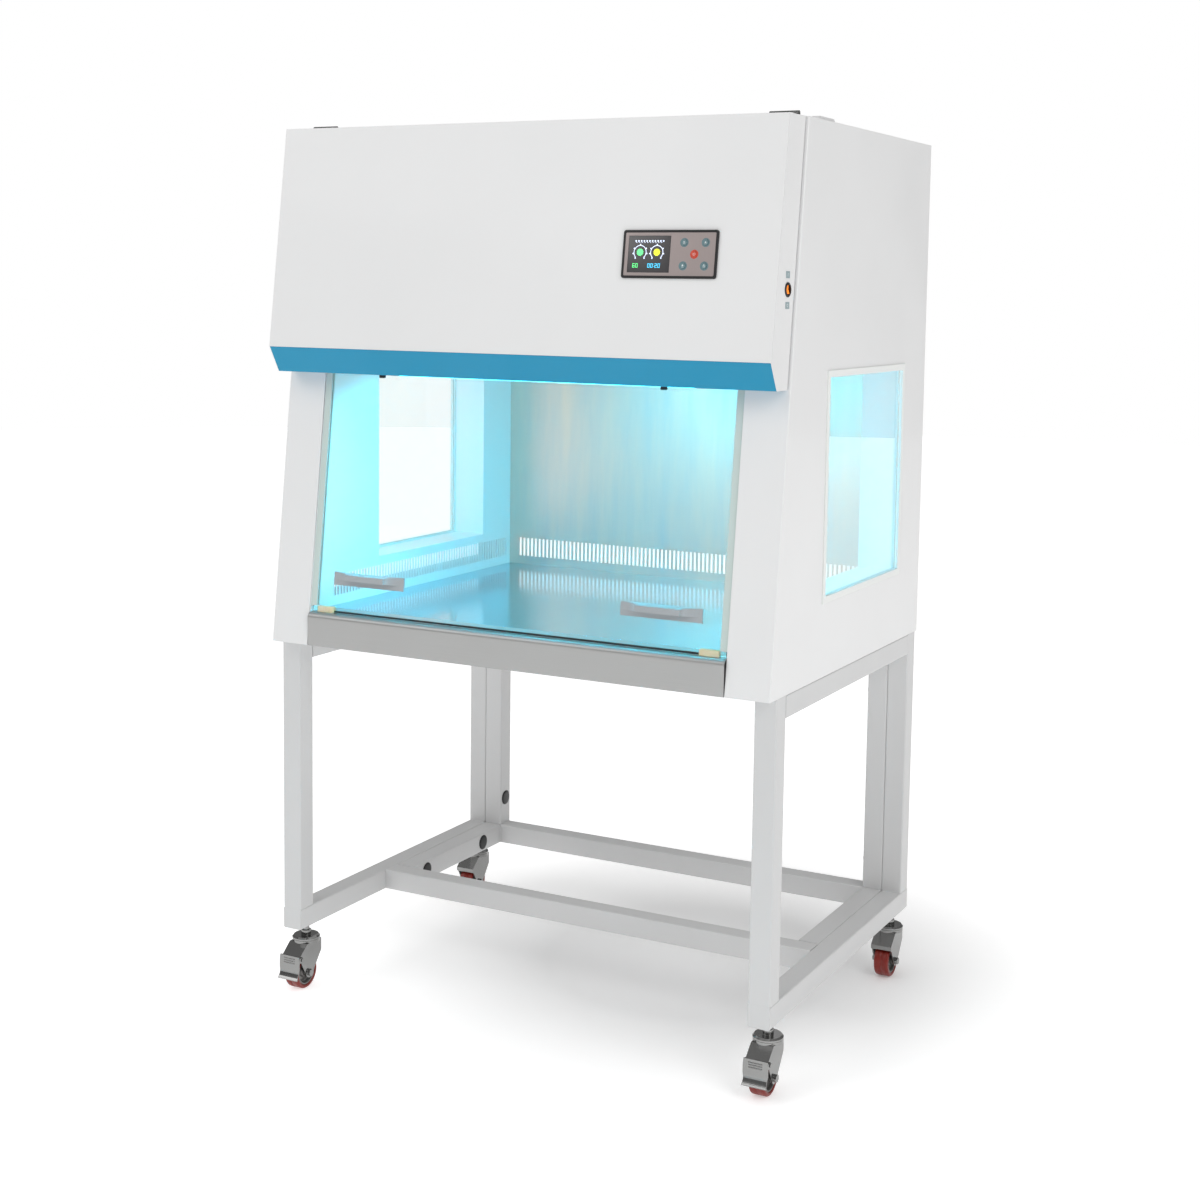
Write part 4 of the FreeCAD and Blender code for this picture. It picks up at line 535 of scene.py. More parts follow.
def arc_points(centre, radius, start, end, steps):
    """Points of an arc in a plane, its angles in degrees."""
    return [
        (
            centre[0] + radius * math.cos(math.radians(start + (end - start) * step / steps)),
            centre[1] + radius * math.sin(math.radians(start + (end - start) * step / steps)),
        )
        for step in range(steps + 1)
    ]


def block(u0, v0, u1, v1):
    """Corners of a rectangle."""
    return [(u0, v0), (u1, v0), (u1, v1), (u0, v1)]


def walls(work, loops):
    """Faces between neighbours in a row of loops with the same count of corners."""
    for first, second in zip(loops, loops[1:]):
        for number in range(len(first)):
            following = (number + 1) % len(first)
            work.faces.new((first[number], first[following], second[following], second[number]))


def skin(work, loops):
    """Closed solid over a row of loops."""
    walls(work, loops)
    work.faces.new(loops[0])
    work.faces.new(loops[-1][::-1])


def prism(work, outline, low, high, place):
    """Solid of a closed outline, between two depths; place turns (u, v, depth) into a point."""
    loops = [[work.verts.new(place(u, v, depth)) for u, v in outline] for depth in (low, high)]
    skin(work, loops)


def band(work, inner, outer, low, high, place):
    """Solid between two open lines of points with the same count."""
    loops = [
        [work.verts.new(place(u, v, depth)) for u, v in line]
        for line in (inner, outer)
        for depth in (low, high)
    ]
    inner_low, inner_high, outer_low, outer_high = loops
    for number in range(len(inner) - 1):
        following = number + 1
        for first, second in (
            (inner_low, outer_low),
            (outer_low, outer_high),
            (outer_high, inner_high),
            (inner_high, inner_low),
        ):
            work.faces.new((first[number], first[following], second[following], second[number]))
    for end in (0, -1):
        work.faces.new((inner_low[end], outer_low[end], outer_high[end], inner_high[end]))


# Geometry node trees


def grow_tree(name, inputs):
    """New geometry tree with named inputs, its two end nodes and a way to add nodes."""
    tree = bpy.data.node_groups.new(name, "GeometryNodeTree")
    face = tree.interface
    face.new_socket("Geometry", in_out="INPUT", socket_type="NodeSocketGeometry")
    for label, kind in inputs:
        face.new_socket(label, in_out="INPUT", socket_type=kind)
    face.new_socket("Geometry", in_out="OUTPUT", socket_type="NodeSocketGeometry")
    start = tree.nodes.new("NodeGroupInput")
    end = tree.nodes.new("NodeGroupOutput")

    def add(kind, settings=None, **wires):
        node = tree.nodes.new(kind)
        for key, value in (settings or {}).items():
            setattr(node, key, value)
        for label, value in wires.items():
            socket = node.inputs[label.replace("_", " ")]
            if isinstance(value, bpy.types.NodeSocket):
                tree.links.new(value, socket)
            else:
                socket.default_value = value
        return node

    return tree, start, end, add


def end_tree(tree, start, end, add, geometry, smooth):
    """Close a tree with real instances, shading and the material."""
    real = add("GeometryNodeRealizeInstances", Geometry=geometry)
    shaded = add("GeometryNodeSetShadeSmooth", Geometry=real.outputs[0])
    shaded.inputs["Shade Smooth"].default_value = smooth
    painted = add(
        "GeometryNodeSetMaterial",
        Geometry=shaded.outputs[0],
        Material=start.outputs["Material"],
    )
    tree.links.new(painted.outputs[0], end.inputs[0])
    return tree


def thicken(tree, add, sheet, thickness):
    """Closed plate from a flat sheet that faces up, grown upwards."""
    raised = add(
        "GeometryNodeExtrudeMesh", {"mode": "FACES"}, Mesh=sheet, Offset_Scale=thickness
    )
    raised.inputs["Individual"].default_value = False
    under = add("GeometryNodeFlipFaces", Mesh=sheet)
    both = add("GeometryNodeJoinGeometry")
    tree.links.new(raised.outputs["Mesh"], both.inputs[0])
    tree.links.new(under.outputs[0], both.inputs[0])
    merged = add("GeometryNodeMergeByDistance", Geometry=both.outputs[0])
    merged.inputs["Distance"].default_value = 1e-6
    return merged.outputs[0]


def perforated_tree():
    """Sheet of staggered six-sided holes."""
    tree, start, end, add = grow_tree("Perforated sheet", [
        ("Corner", "NodeSocketVector"),
        ("Columns", "NodeSocketInt"),
        ("Rows", "NodeSocketInt"),
        ("Pitch", "NodeSocketFloat"),
        ("Open Share", "NodeSocketFloat"),
        ("Thickness", "NodeSocketFloat"),
        ("Material", "NodeSocketMaterial"),
    ])
    given = start.outputs
    reach = math_node(tree, "MULTIPLY", given["Pitch"], 1 / math.sqrt(3))
    cell = add("GeometryNodeMeshCircle", {"fill_type": "NGON"}, Vertices=6, Radius=reach)
    inner = add("GeometryNodeExtrudeMesh", {"mode": "FACES"}, Mesh=cell.outputs[0],
                Offset_Scale=0.0)
    shrunk = add("GeometryNodeScaleElements", {"domain": "FACE"}, Geometry=inner.outputs["Mesh"],
                 Selection=inner.outputs["Top"], Scale=given["Open Share"])
    holed = add("GeometryNodeDeleteGeometry", {"domain": "FACE"}, Geometry=shrunk.outputs[0],
                Selection=inner.outputs["Top"])
    count = math_node(tree, "MULTIPLY", given["Columns"], given["Rows"])
    line = add("GeometryNodeMeshLine", {"mode": "OFFSET"}, Count=count)
    index = add("GeometryNodeInputIndex").outputs[0]
    column = math_node(tree, "FLOOR", math_node(tree, "DIVIDE", index, given["Rows"]))
    row = math_node(tree, "MODULO", index, given["Rows"])
    shift = math_node(tree, "MULTIPLY", math_node(tree, "MODULO", column, 2.0), 0.5)
    side = math_node(tree, "MULTIPLY", given["Pitch"], math.sqrt(3) / 2)
    place = tree.nodes.new("ShaderNodeCombineXYZ")
    tree.links.new(math_node(tree, "MULTIPLY", column, side), place.inputs[0])
    along = math_node(tree, "ADD", row, shift)
    tree.links.new(math_node(tree, "MULTIPLY", along, given["Pitch"]), place.inputs[1])
    whole = tree.nodes.new("ShaderNodeVectorMath")
    whole.operation = "ADD"
    tree.links.new(place.outputs[0], whole.inputs[0])
    tree.links.new(given["Corner"], whole.inputs[1])
    spots = add("GeometryNodeSetPosition", Geometry=line.outputs[0], Position=whole.outputs[0])
    cells = add("GeometryNodeInstanceOnPoints", Points=spots.outputs[0], Instance=holed.outputs[0])
    real = add("GeometryNodeRealizeInstances", Geometry=cells.outputs[0])
    merged = add("GeometryNodeMergeByDistance", Geometry=real.outputs[0])
    merged.inputs["Distance"].default_value = 1e-5
    plate = thicken(tree, add, merged.outputs[0], given["Thickness"])
    return end_tree(tree, start, end, add, plate, False)


def pleated_tree():
    """Zigzag sheet of filter paper."""
    tree, start, end, add = grow_tree("Pleated paper", [
        ("Corner", "NodeSocketVector"),
        ("Width", "NodeSocketFloat"),
        ("Length", "NodeSocketFloat"),
        ("Pitch", "NodeSocketFloat"),
        ("Depth", "NodeSocketFloat"),
        ("Thickness", "NodeSocketFloat"),
        ("Material", "NodeSocketMaterial"),
    ])
    given = start.outputs
    folds = math_node(tree, "DIVIDE", given["Length"], given["Pitch"])
    lines = math_node(tree, "ADD", math_node(tree, "MULTIPLY", math_node(
        tree, "FLOOR", folds), 2.0), 1.0)
    sheet = add("GeometryNodeMeshGrid", Size_X=given["Width"], Size_Y=given["Length"],
                Vertices_X=2, Vertices_Y=lines)
    index = add("GeometryNodeInputIndex").outputs[0]
    number = math_node(tree, "MODULO", index, lines)
    odd = math_node(tree, "MODULO", number, 2.0)
    lift = tree.nodes.new("ShaderNodeCombineXYZ")
    tree.links.new(math_node(tree, "MULTIPLY", odd, given["Depth"]), lift.inputs[2])
    folded = add("GeometryNodeSetPosition", Geometry=sheet.outputs[0], Offset=lift.outputs[0])
    plate = thicken(tree, add, folded.outputs[0], given["Thickness"])
    placed = add("GeometryNodeSetPosition", Geometry=plate, Offset=given["Corner"])
    return end_tree(tree, start, end, add, placed.outputs[0], False)


def screw_tree():
    """A screw head on each point of a mesh."""
    tree, start, end, add = grow_tree("Screw heads", [
        ("Head", "NodeSocketObject"),
        ("Turn", "NodeSocketRotation"),
        ("Radius", "NodeSocketFloat"),
        ("Material", "NodeSocketMaterial"),
    ])
    head = add("GeometryNodeObjectInfo", Object=start.outputs["Head"])
    scale = start.outputs["Radius"]
    heads = add("GeometryNodeInstanceOnPoints", Points=start.outputs["Geometry"],
                Instance=head.outputs["Geometry"], Rotation=start.outputs["Turn"], Scale=scale)
    return end_tree(tree, start, end, add, heads.outputs[0], False)


def weld_tree():
    """Rippled bead along the edges of a mesh."""
    tree, start, end, add = grow_tree("Weld bead", [
        ("Radius", "NodeSocketFloat"),
        ("Step", "NodeSocketFloat"),
        ("Material", "NodeSocketMaterial"),
    ])
    given = start.outputs
    path = add("GeometryNodeMeshToCurve", Mesh=given["Geometry"])
    half = math_node(tree, "MULTIPLY", given["Step"], 0.5)
    even = add("GeometryNodeResampleCurve", {"mode": "LENGTH"}, Curve=path.outputs[0], Length=half)
    ring = add("GeometryNodeCurvePrimitiveCircle", Resolution=8, Radius=given["Radius"])
    tube = add("GeometryNodeCurveToMesh", Curve=even.outputs[0], Profile_Curve=ring.outputs[0])
    tube.inputs["Fill Caps"].default_value = True
    index = add("GeometryNodeInputIndex").outputs[0]
    number = math_node(tree, "FLOOR", math_node(tree, "DIVIDE", index, 8.0))
    wave = math_node(tree, "MULTIPLY", math_node(tree, "MODULO", number, 2.0), -0.12)
    normal = add("GeometryNodeInputNormal").outputs[0]
    push = tree.nodes.new("ShaderNodeVectorMath")
    push.operation = "SCALE"
    tree.links.new(normal, push.inputs[0])
    tree.links.new(math_node(tree, "MULTIPLY", wave, given["Radius"]), push.inputs["Scale"])
    rippled = add("GeometryNodeSetPosition", Geometry=tube.outputs[0], Offset=push.outputs[0])
    return end_tree(tree, start, end, add, rippled.outputs[0], True)


def grow(name, tree, body, values, points=((0.0, 0.0, 0.0),), edges=()):
    """Run a geometry tree on points and edges, and keep its result as a plain mesh."""
    seed = bpy.data.meshes.new(name + "_seed")
    seed.from_pydata([Vector(point) for point in points], list(edges), [])
    holder = bpy.data.objects.new(name + "_seed", seed)
    bpy.context.scene.collection.objects.link(holder)
    modifier = holder.modifiers.new("Grow", "NODES")
    modifier.node_group = tree
    sockets = {
        item.name: item.identifier
        for item in tree.interface.items_tree
        if item.item_type == "SOCKET" and item.in_out == "INPUT"
    }
    for label, value in values.items():
        modifier[sockets[label]] = value
    bpy.context.view_layer.update()
    shown = holder.evaluated_get(bpy.context.evaluated_depsgraph_get())
    mesh = bpy.data.meshes.new_from_object(shown)
    mesh.name = name
    holder.modifiers.remove(modifier)
    bpy.data.objects.remove(holder)
    bpy.data.meshes.remove(seed)
    if not mesh.polygons:
        raise RuntimeError(f"{name} came out empty")
    return piece_from(name, mesh, body, None)


# Operators


class CABINET_OT_paint_shell(bpy.types.Operator):
    """Give the cabinet's outer sheets their powder coat"""

    bl_idname = "cabinet.paint_shell"
    bl_label = "Paint the Shell"

    def execute(self, context):
        paint = context.scene.cabinet_paint
        coat = finish("Cabinet coat", paint.cabinet, 0.46, scale=paint.peel, depth=paint.peel_depth,
                      tone=0.012, edge=paint.edge, coat=0.12)
        for node in ("side_panel_left", "side_panel_right", "back_panel", "roof_panel",
                     "base_panel", "front_panel"):
            dress(node, coat)
        return {"FINISHED"}


class CABINET_OT_paint_stand(bpy.types.Operator):
    """Give the tube stand its powder coat and weld beads"""

    bl_idname = "cabinet.paint_stand"
    bl_label = "Paint the Stand"

    def execute(self, context):
        paint = context.scene.cabinet_paint
        sizes = context.scene.cabinet_fasteners
        coat = finish("Stand coat", paint.stand, 0.44, scale=paint.peel, depth=paint.peel_depth,
                      tone=0.02, edge=paint.edge, coat=0.12)
        for node in ("side_frame_left", "side_frame_right", "cross_frame"):
            dress(node, coat)
        dress("bolt_plugs", black_plastic(context))
        self.add_plug_heads(context, sizes.plug)
        dress("frame_bolts", zinc_plate(context))
        low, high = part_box("side_frame_right")
        tube = high.x - low.x
        inset = sizes.bead * 2
        lines = []
        for sign in (-1, 1):
            for y in (low.y + tube, high.y - tube):
                for z in (low.z + tube, high.z - tube):
                    lines.append(((sign * (low.x + inset), y, z), (sign * (high.x - inset), y, z)))
        cross_low, cross_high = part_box("cross_frame")
        rail = cross_high.x - tube
        for sign in (-1, 1):
            for y in (cross_low.y + tube, cross_high.y - tube):
                lines.append(((sign * rail, y, cross_low.z + inset),
                              (sign * rail, y, cross_low.z + tube - inset)))
            for z in (cross_low.z + tube, cross_high.z - tube):
                lines.append(((sign * rail, cross_high.y - tube + inset, z),
                              (sign * rail, cross_high.y - inset, z)))
        points = [point for line in lines for point in line]
        edges = [(2 * number, 2 * number + 1) for number in range(len(lines))]
        grow("stand_welds", weld_tree(), ROOT,
             {"Radius": sizes.bead, "Step": sizes.bead_step, "Material": coat},
             points, edges)
        return {"FINISHED"}

    def add_plug_heads(self, context, radius):
        """Domed heads, wider than the solids' heads, over the plugs in the tubes."""
        rise = 2.2 * MM
        rim = 0.7 * MM
        boxes = loose_boxes("bolt_plugs")

        def turn_heads(work):
            for low, high in boxes:
                inward = -1 if low.x > 0 else 1
                face = low.x if inward < 0 else high.x
                centre = Vector((face, (low.y + high.y) / 2, (low.z + high.z) / 2))
                seat = -1.45 * MM * inward
                outline = [(seat, 0.0), (seat, radius), (seat + rim * inward, radius),
                           (seat + 0.8 * rise * inward, radius * 0.86),
                           (seat + rise * inward, radius * 0.6), (seat + rise * inward, 0.0)]
                lathe(work, outline, 32, centre)

        piece_from("plug_heads", mesh_from("plug_heads", turn_heads, True), ROOT,
                   black_plastic(context))


class CABINET_OT_line_chamber(bpy.types.Operator):
    """Finish the chamber's walls, floor and sill"""

    bl_idname = "cabinet.line_chamber"
    bl_label = "Line the Chamber"

    def execute(self, context):
        paint = context.scene.cabinet_paint
        white = finish("Chamber paint", paint.inside, 0.38, scale=paint.peel, depth=0.00002,
                       tone=0.01, edge=0.0007, coat=0.1)
        for node in ("inner_wall_left", "inner_wall_right", "cover_plate", "filter_rails"):
            dress(node, white)
        # The back wall's steel gets warm grey streaks: painted blurred reflections of the room.
        dress("inner_back_wall", brushed_steel(context, "Brushed wall", (2200.0, 2200.0, 10.0),
                                               0.42, linear(240, 216, 198)))
        # The worktop's steel colour is tinted blue-cyan: a painted reflection of the chamber's cyan
        # lamp light.
        worktop = finish("Brushed worktop", linear(150, 198, 214), 0.12, metallic=1.0,
                         relief="Brushed grain", stretch=(2200.0, 6.0, 2200.0),
                         depth=context.scene.cabinet_metal.grain_depth, tone=0.05, gloss=0.015,
                         edge=0.001)
        dress("work_surface", worktop)
        sill = finish("Brushed sill", linear(176, 176, 175), 0.4, metallic=0.8,
                      relief="Brushed grain", stretch=(5.0, 1500.0, 1500.0), depth=0.00001,
                      tone=0.03, gloss=0.02, edge=0.0025)
        dress("front_bar", sill)
        sheet = finish("Plated sheet", (0.55, 0.57, 0.58), 0.42, metallic=1.0, scale=35.0,
                       depth=0.00001, tone=0.12, gloss=0.12)
        for node in ("blower_plate", "blower_housing", "blower_impeller"):
            dress(node, sheet)
        dress("blower_motor", black_plastic(context))
        return {"FINISHED"}


class CABINET_OT_fit_ceiling(bpy.types.Operator):
    """Perforated ceiling sheet under pleated filters"""

    bl_idname = "cabinet.fit_ceiling"
    bl_label = "Fit the Ceiling"

    def execute(self, context):
        sizes = context.scene.cabinet_ceiling
        paint = context.scene.cabinet_paint
        white = finish("Ceiling paint", paint.inside, 0.4, scale=paint.peel, depth=0.00002,
                       tone=0.01)
        low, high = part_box("diffuser")
        rim = sizes.rim

        def border(work):
            def place(u, v, depth):
                return Vector((u, v, depth))

            for u0, v0, u1, v1 in (
                (low.x, low.y, high.x, low.y + rim),
                (low.x, high.y - rim, high.x, high.y),
                (low.x, low.y + rim, low.x + rim, high.y - rim),
                (high.x - rim, low.y + rim, high.x, high.y - rim),
            ):
                prism(work, block(u0, v0, u1, v1), low.z, high.z, place)

        edge = piece_from("ceiling_rim", mesh_from("ceiling_rim", border), ROOT, white)
        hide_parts("diffuser")
        side = sizes.pitch * math.sqrt(3) / 2
        columns = int((high.x - low.x - 1.6 * rim) / side)
        rows = int((high.y - low.y - 1.6 * rim) / sizes.pitch)
        corner = (
            (low.x + high.x - (columns - 1) * side) / 2,
            (low.y + high.y - (rows - 0.5) * sizes.pitch) / 2,
            low.z + 0.1 * (high.z - low.z),
        )
        grow("ceiling_field", perforated_tree(), ROOT, {
            "Corner": corner, "Columns": columns, "Rows": rows, "Pitch": sizes.pitch,
            "Open Share": sizes.open_share, "Thickness": 0.8 * (high.z - low.z),
            "Material": white,
        })
        paper = finish("Filter paper", linear(236, 236, 228), 0.9, scale=700.0, depth=0.00006,
                       tone=0.04)
        frame_paint = finish("Filter frame", (0.62, 0.63, 0.64), 0.4, metallic=1.0, scale=60.0,
                             depth=0.00001)
        dress("hepa_filter", frame_paint)
        dress("pre_filter", frame_paint)
        pleats = pleated_tree()
        low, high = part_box("hepa_filter")
        edge_width = 20 * MM
        middle = (low + high) / 2
        recess = 2.6 * MM
        for name, z in (("pleats_below", low.z + 0.2 * MM), ("pleats_above", high.z - recess)):
            grow(name, pleats, ROOT, {
                "Corner": (middle.x, middle.y, z),
                "Width": high.x - low.x - 2 * edge_width,
                "Length": high.y - low.y - 2 * edge_width,
                "Pitch": sizes.pleat, "Depth": recess - 0.4 * MM, "Thickness": 0.15 * MM,
                "Material": paper,
            })
        low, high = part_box("pre_filter")
        middle = (low + high) / 2
        coarse_edges = 0.02
        coarse_pitch = 0.009
        grow("coarse_pleats", pleats, ROOT, {
            "Corner": (middle.x, middle.y, low.z + 0.2 * MM),
            "Width": high.x - low.x - coarse_edges, "Length": high.y - low.y - coarse_edges,
            "Pitch": coarse_pitch, "Depth": 2.2 * MM, "Thickness": 0.3 * MM, "Material": paper,
        })
        return {"FINISHED"}


class CABINET_OT_glaze(bpy.types.Operator):
    """Glass of the sash and the side windows, with their seals"""

    bl_idname = "cabinet.glaze"
    bl_label = "Glaze"

    def execute(self, context):
        rubber = context.scene.cabinet_rubber
        dress("window_panes", clear_glass("Window glass", (0.985, 0.997, 0.992)))
        dress("sash_glass", clear_glass("Sash glass", (0.975, 0.995, 0.988)))
        dress("window_seals", finish("Window seal", rubber.seal, 0.55, scale=700.0, tone=0.02,
                                     edge=0.0012))
        dress("sash_pads", finish("Clip plastic", rubber.pad, 0.3, scale=200.0, tone=0.04,
                                  edge=0.0012, scatter=0.6))
        track = finish("Track paint", linear(196, 210, 206), 0.4, scale=400.0, tone=0.02)
        dress("sash_tracks", track)
        self.add_edge_seal(context)
        return {"FINISHED"}

    def add_edge_seal(self, context):
        """Black strip round the lower edge of the glass, between the clips."""
        glass_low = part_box("sash_glass")[0]
        clip = 36 * MM
        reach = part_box("sash_pads")[1].x - clip - 0.6 * MM
        up = Vector(joint("sash_slide")["axis"])
        back = Vector((0.0, up.z, -up.y))
        thickness = 5 * MM
        foot = Vector((0.0, glass_low.y, glass_low.z))
        wall = 0.5 * MM
        height = 2.2 * MM
        sole = -1.0 * MM
        play = 0.05 * MM
        outline = [
            (-wall, sole), (thickness + wall, sole), (thickness + wall, height),
            (thickness + play, height), (thickness + play, -play), (-play, -play),
            (-play, height), (-wall, height),
        ]

        def strip(work):
            def place(u, v, depth):
                return foot + back * u + up * v + Vector((depth, 0.0, 0.0))

            prism(work, outline, -reach, reach, place)

        piece_from("sash_edge_seal", mesh_from("sash_edge_seal", strip), SASH,
                   black_plastic(context))


class CABINET_OT_finish_sash(bpy.types.Operator):
    """Finish the finger pulls of the sash"""

    bl_idname = "cabinet.finish_sash"
    bl_label = "Finish the Pulls"

    def execute(self, context):
        metals = context.scene.cabinet_metal
        pull = finish("Anodised pull", metals.pull, 0.36, metallic=0.3, relief="Brushed grain",
                      stretch=(20.0, 2600.0, 2600.0), depth=0.00002, tone=0.05, edge=0.0009)
        made = piece_from("sash_pulls", mesh_from("sash_pulls", self.shape_pulls), SASH, pull)
        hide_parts("sash_handles")
        return {"FINISHED"}

    def shape_pulls(self, work):
        """Back plate and a hollow grip whose sides sweep in to a flat front."""
        low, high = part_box("sash_handles")
        up = Vector(joint("sash_slide")["axis"])
        out = Vector((0.0, -up.z, up.y))
        half = 76 * MM
        rise = 12 * MM
        sheet = 3 * MM
        reach = 20 * MM
        grip = 42 * MM
        wall = 1.6 * MM
        top_slope = 3.6 * MM
        lower = -2.3 * MM
        overlap = 0.01 * MM
        steps = 8
        middle_z = (low.z + high.z) / 2
        side_x = high.x - half
        run = half - sheet - grip
        sweep = []
        for step in range(steps + 1):
            angle = math.radians(90 * step / steps)
            sweep.append((grip + run * (1 - math.cos(angle)),
                          reach - (reach - sheet) * math.sin(angle)))
        columns = [(-u, depth) for u, depth in reversed(sweep)] + sweep

        for sign in (-1, 1):
            seat = self.seat_of(sign, side_x, middle_z, up)

            def place(u, v, depth, seat=seat):
                return seat + Vector((u, 0.0, 0.0)) + up * v + out * depth

            prism(work, block(-half, -rise, half, rise), 0.0, sheet, place)
            loops = []
            for u, depth in columns:
                inner = max(sheet, depth - wall)
                slope = top_slope * (depth - sheet) / (reach - sheet)
                section = [
                    (rise, sheet), (rise - slope, depth), (lower, depth), (lower, inner - overlap),
                    (rise - slope - wall, inner - overlap), (rise - wall, sheet - overlap),
                ]
                loops.append([work.verts.new(place(u, v, w)) for v, w in section])
            skin(work, loops)

    def seat_of(self, sign, side_x, middle_z, up):
        """Place on the glass's front at a height, on one side."""
        glass_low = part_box("sash_glass")[0]
        rise = middle_z - glass_low.z
        return Vector((sign * side_x, glass_low.y + rise * up.y / up.z, middle_z))


class CABINET_OT_finish_front(bpy.types.Operator):
    """Finish the hinged front's strip, stops and hinges"""

    bl_idname = "cabinet.finish_front"
    bl_label = "Finish the Front"

    def execute(self, context):
        paint = context.scene.cabinet_paint
        rubber = context.scene.cabinet_rubber
        dress("panel_trim", finish("Trim coat", paint.trim, 0.55, scale=paint.peel,
                                   depth=paint.peel_depth, tone=0.02, edge=paint.edge))
        dress("sash_stops", finish("Black rubber", rubber.black, 0.7, scale=1200.0,
                                   depth=0.00005, tone=0.12, edge=0.0006))
        for node in ("hinge_roof_leaves", "hinge_panel_leaves"):
            dress(node, zinc_plate(context))
        return {"FINISHED"}


class CABINET_OT_finish_casters(bpy.types.Operator):
    """Plated forks and pedals, and turned wheels"""

    bl_idname = "cabinet.finish_casters"
    bl_label = "Finish the Casters"

    def execute(self, context):
        zinc = zinc_plate(context)
        rubber = context.scene.cabinet_rubber
        dress("caster_stems", zinc)
        tread = finish("Wheel tread", rubber.tread, 0.38, scale=300.0, depth=0.00002, tone=0.06,
                       edge=0.0008, scatter=0.1)
        hub = finish("Wheel hub", rubber.hub, 0.38, metallic=0.55, scale=500.0, tone=0.05)
        sides = context.scene.cabinet_view.sides
        for corner in CORNERS:
            dress("caster_fork_" + corner, zinc)
            if corner.startswith("f"):
                self.add_pedal(corner, zinc)
            self.add_wheel(corner, tread, hub, sides)
        return {"FINISHED"}

    def add_pedal(self, corner, zinc):
        """Pedal with ears outside the fork, a curled foot and three pressed ribs."""
        node = "brake_pedal_" + corner
        low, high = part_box(node)
        brake = next(entry for entry in frame["joints"] if entry["child"] == "pedal_" + corner)
        pin = Vector(brake["pos_m"])
        half = (high.x - low.x) / 2
        ear_out = 22.8 * MM
        ear_radius = 5 * MM
        sheet = 2 * MM
        front = pin.y - 10.5 * MM
        knee = pin.z - 17 * MM
        curl = 24 * MM
        curl_run = 0.72
        curl_angle = 52
        waist = 1.6 * MM
        spread_out = half - 2.2 * MM - ear_out
        rib_half = 12.5 * MM
        rib_radius = 1.1 * MM
        steps = 8
        rows = [(front, high.z, 0.0), (front, high.z - 9 * MM, 0.0), (front, knee + 5 * MM, 0.0)]
        widths = [ear_out - 1.2 * MM, ear_out, ear_out]
        for step in range(steps + 1):
            share = step / steps
            angle = math.radians(curl_angle * share)
            rows.append((front - curl * (1 - math.cos(angle)) * curl_run,
                         knee - curl * math.sin(angle), angle))
            widths.append(ear_out - waist * math.sin(math.pi * share) + spread_out * share ** 2)

        def place(u, v, depth):
            return Vector((pin.x + depth, u, v))

        def build(work):
            loops = []
            for (y, z, angle), width in zip(rows, widths):
                back = (y + sheet * math.cos(angle), z - sheet * math.sin(angle))
                corners = ((y, z, -width), (y, z, width), (*back, width), (*back, -width))
                loops.append([work.verts.new(place(*corner)) for corner in corners])
            skin(work, loops)
            for sign in (-1, 1):
                ear = [(front + sheet, pin.z + ear_radius), (front + sheet, pin.z - ear_radius)]
                ear += arc_points((pin.y, pin.z), ear_radius, -90, 90, 8)
                near, far = sorted((sign * (ear_out - sheet), sign * ear_out))
                prism(work, ear, near, far, place)
            for number in range(3):
                z = pin.z + (2.5 - 4.2 * number) * MM
                rib = arc_points((front + 0.2 * MM, z), rib_radius, 90, 270, 6)
                prism(work, rib, -rib_half, rib_half, place)

        made = piece_from("pedal_" + corner + "_plate", mesh_from("pedal_plate", build),
                          "pedal_" + corner, zinc)
        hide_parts(node)

    def add_wheel(self, corner, tread, hub, sides):
        """Soft tread with a fine groove, and a hub that is hollow between rim and boss."""
        node = "caster_wheel_" + corner
        low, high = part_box(node)
        centre = (low + high) / 2
        radius = (high.z - low.z) / 2
        half = 14.5 * MM
        rim = radius - 7 * MM
        soft = 3.5 * MM
        right = arc_points((half - soft, radius - soft), soft, 0, 90, 6)
        left = arc_points((soft - half, radius - soft), soft, 90, 180, 6)
        groove = [(1.2 * MM, radius), (0.8 * MM, radius - 0.5 * MM),
                  (-0.8 * MM, radius - 0.5 * MM), (-1.2 * MM, radius)]
        tyre = [(-half, rim), (half, rim)] + right + groove + left

        def turn_tread(work):
            lathe(work, tyre, sides, centre)

        face = half - 1 * MM
        bore = 4.06 * MM
        boss = (high.x - low.x) / 2
        outline = [
            (-boss, bore), (boss, bore), (boss, 7.2 * MM), (boss - 0.8 * MM, 8 * MM),
            (face * 0.75, 8.4 * MM), (face * 0.7, 9.5 * MM), (face * 0.42, 12 * MM),
            (face * 0.36, 18.5 * MM), (face * 0.5, 20.5 * MM), (face - 0.4 * MM, 21.6 * MM),
            (face, 22 * MM), (face, 23.6 * MM), (face - 1 * MM, 25 * MM),
        ]
        mirrored = [(-along, out) for along, out in reversed(outline[2:])]

        def turn_hub(work):
            lathe(work, outline + mirrored, sides, centre)

        body = "wheel_" + corner
        tyre_piece = piece_from("tread_" + corner, mesh_from("tread_" + corner, turn_tread, True),
                                body, tread)
        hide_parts(node)
        piece_from("hub_" + corner, mesh_from("hub_" + corner, turn_hub), body, hub)


def panel_frame():
    """Turns a place on the control panel, in millimetres from its middle, into a point."""
    press = joint("press_stop")
    inward = Vector(press["axis"])
    across = Vector((1.0, 0.0, 0.0))
    upward = across.cross(inward)
    middle = Vector(press["pos_m"]) - across * BUTTON_SPOTS["stop"][0] * MM

    def place(x, z, depth):
        return middle + across * (x * MM) + upward * (z * MM) + inward * (depth * MM)

    return place


SEGMENTS = {"0": "abcdef", "2": "abged", "6": "afgedc"}


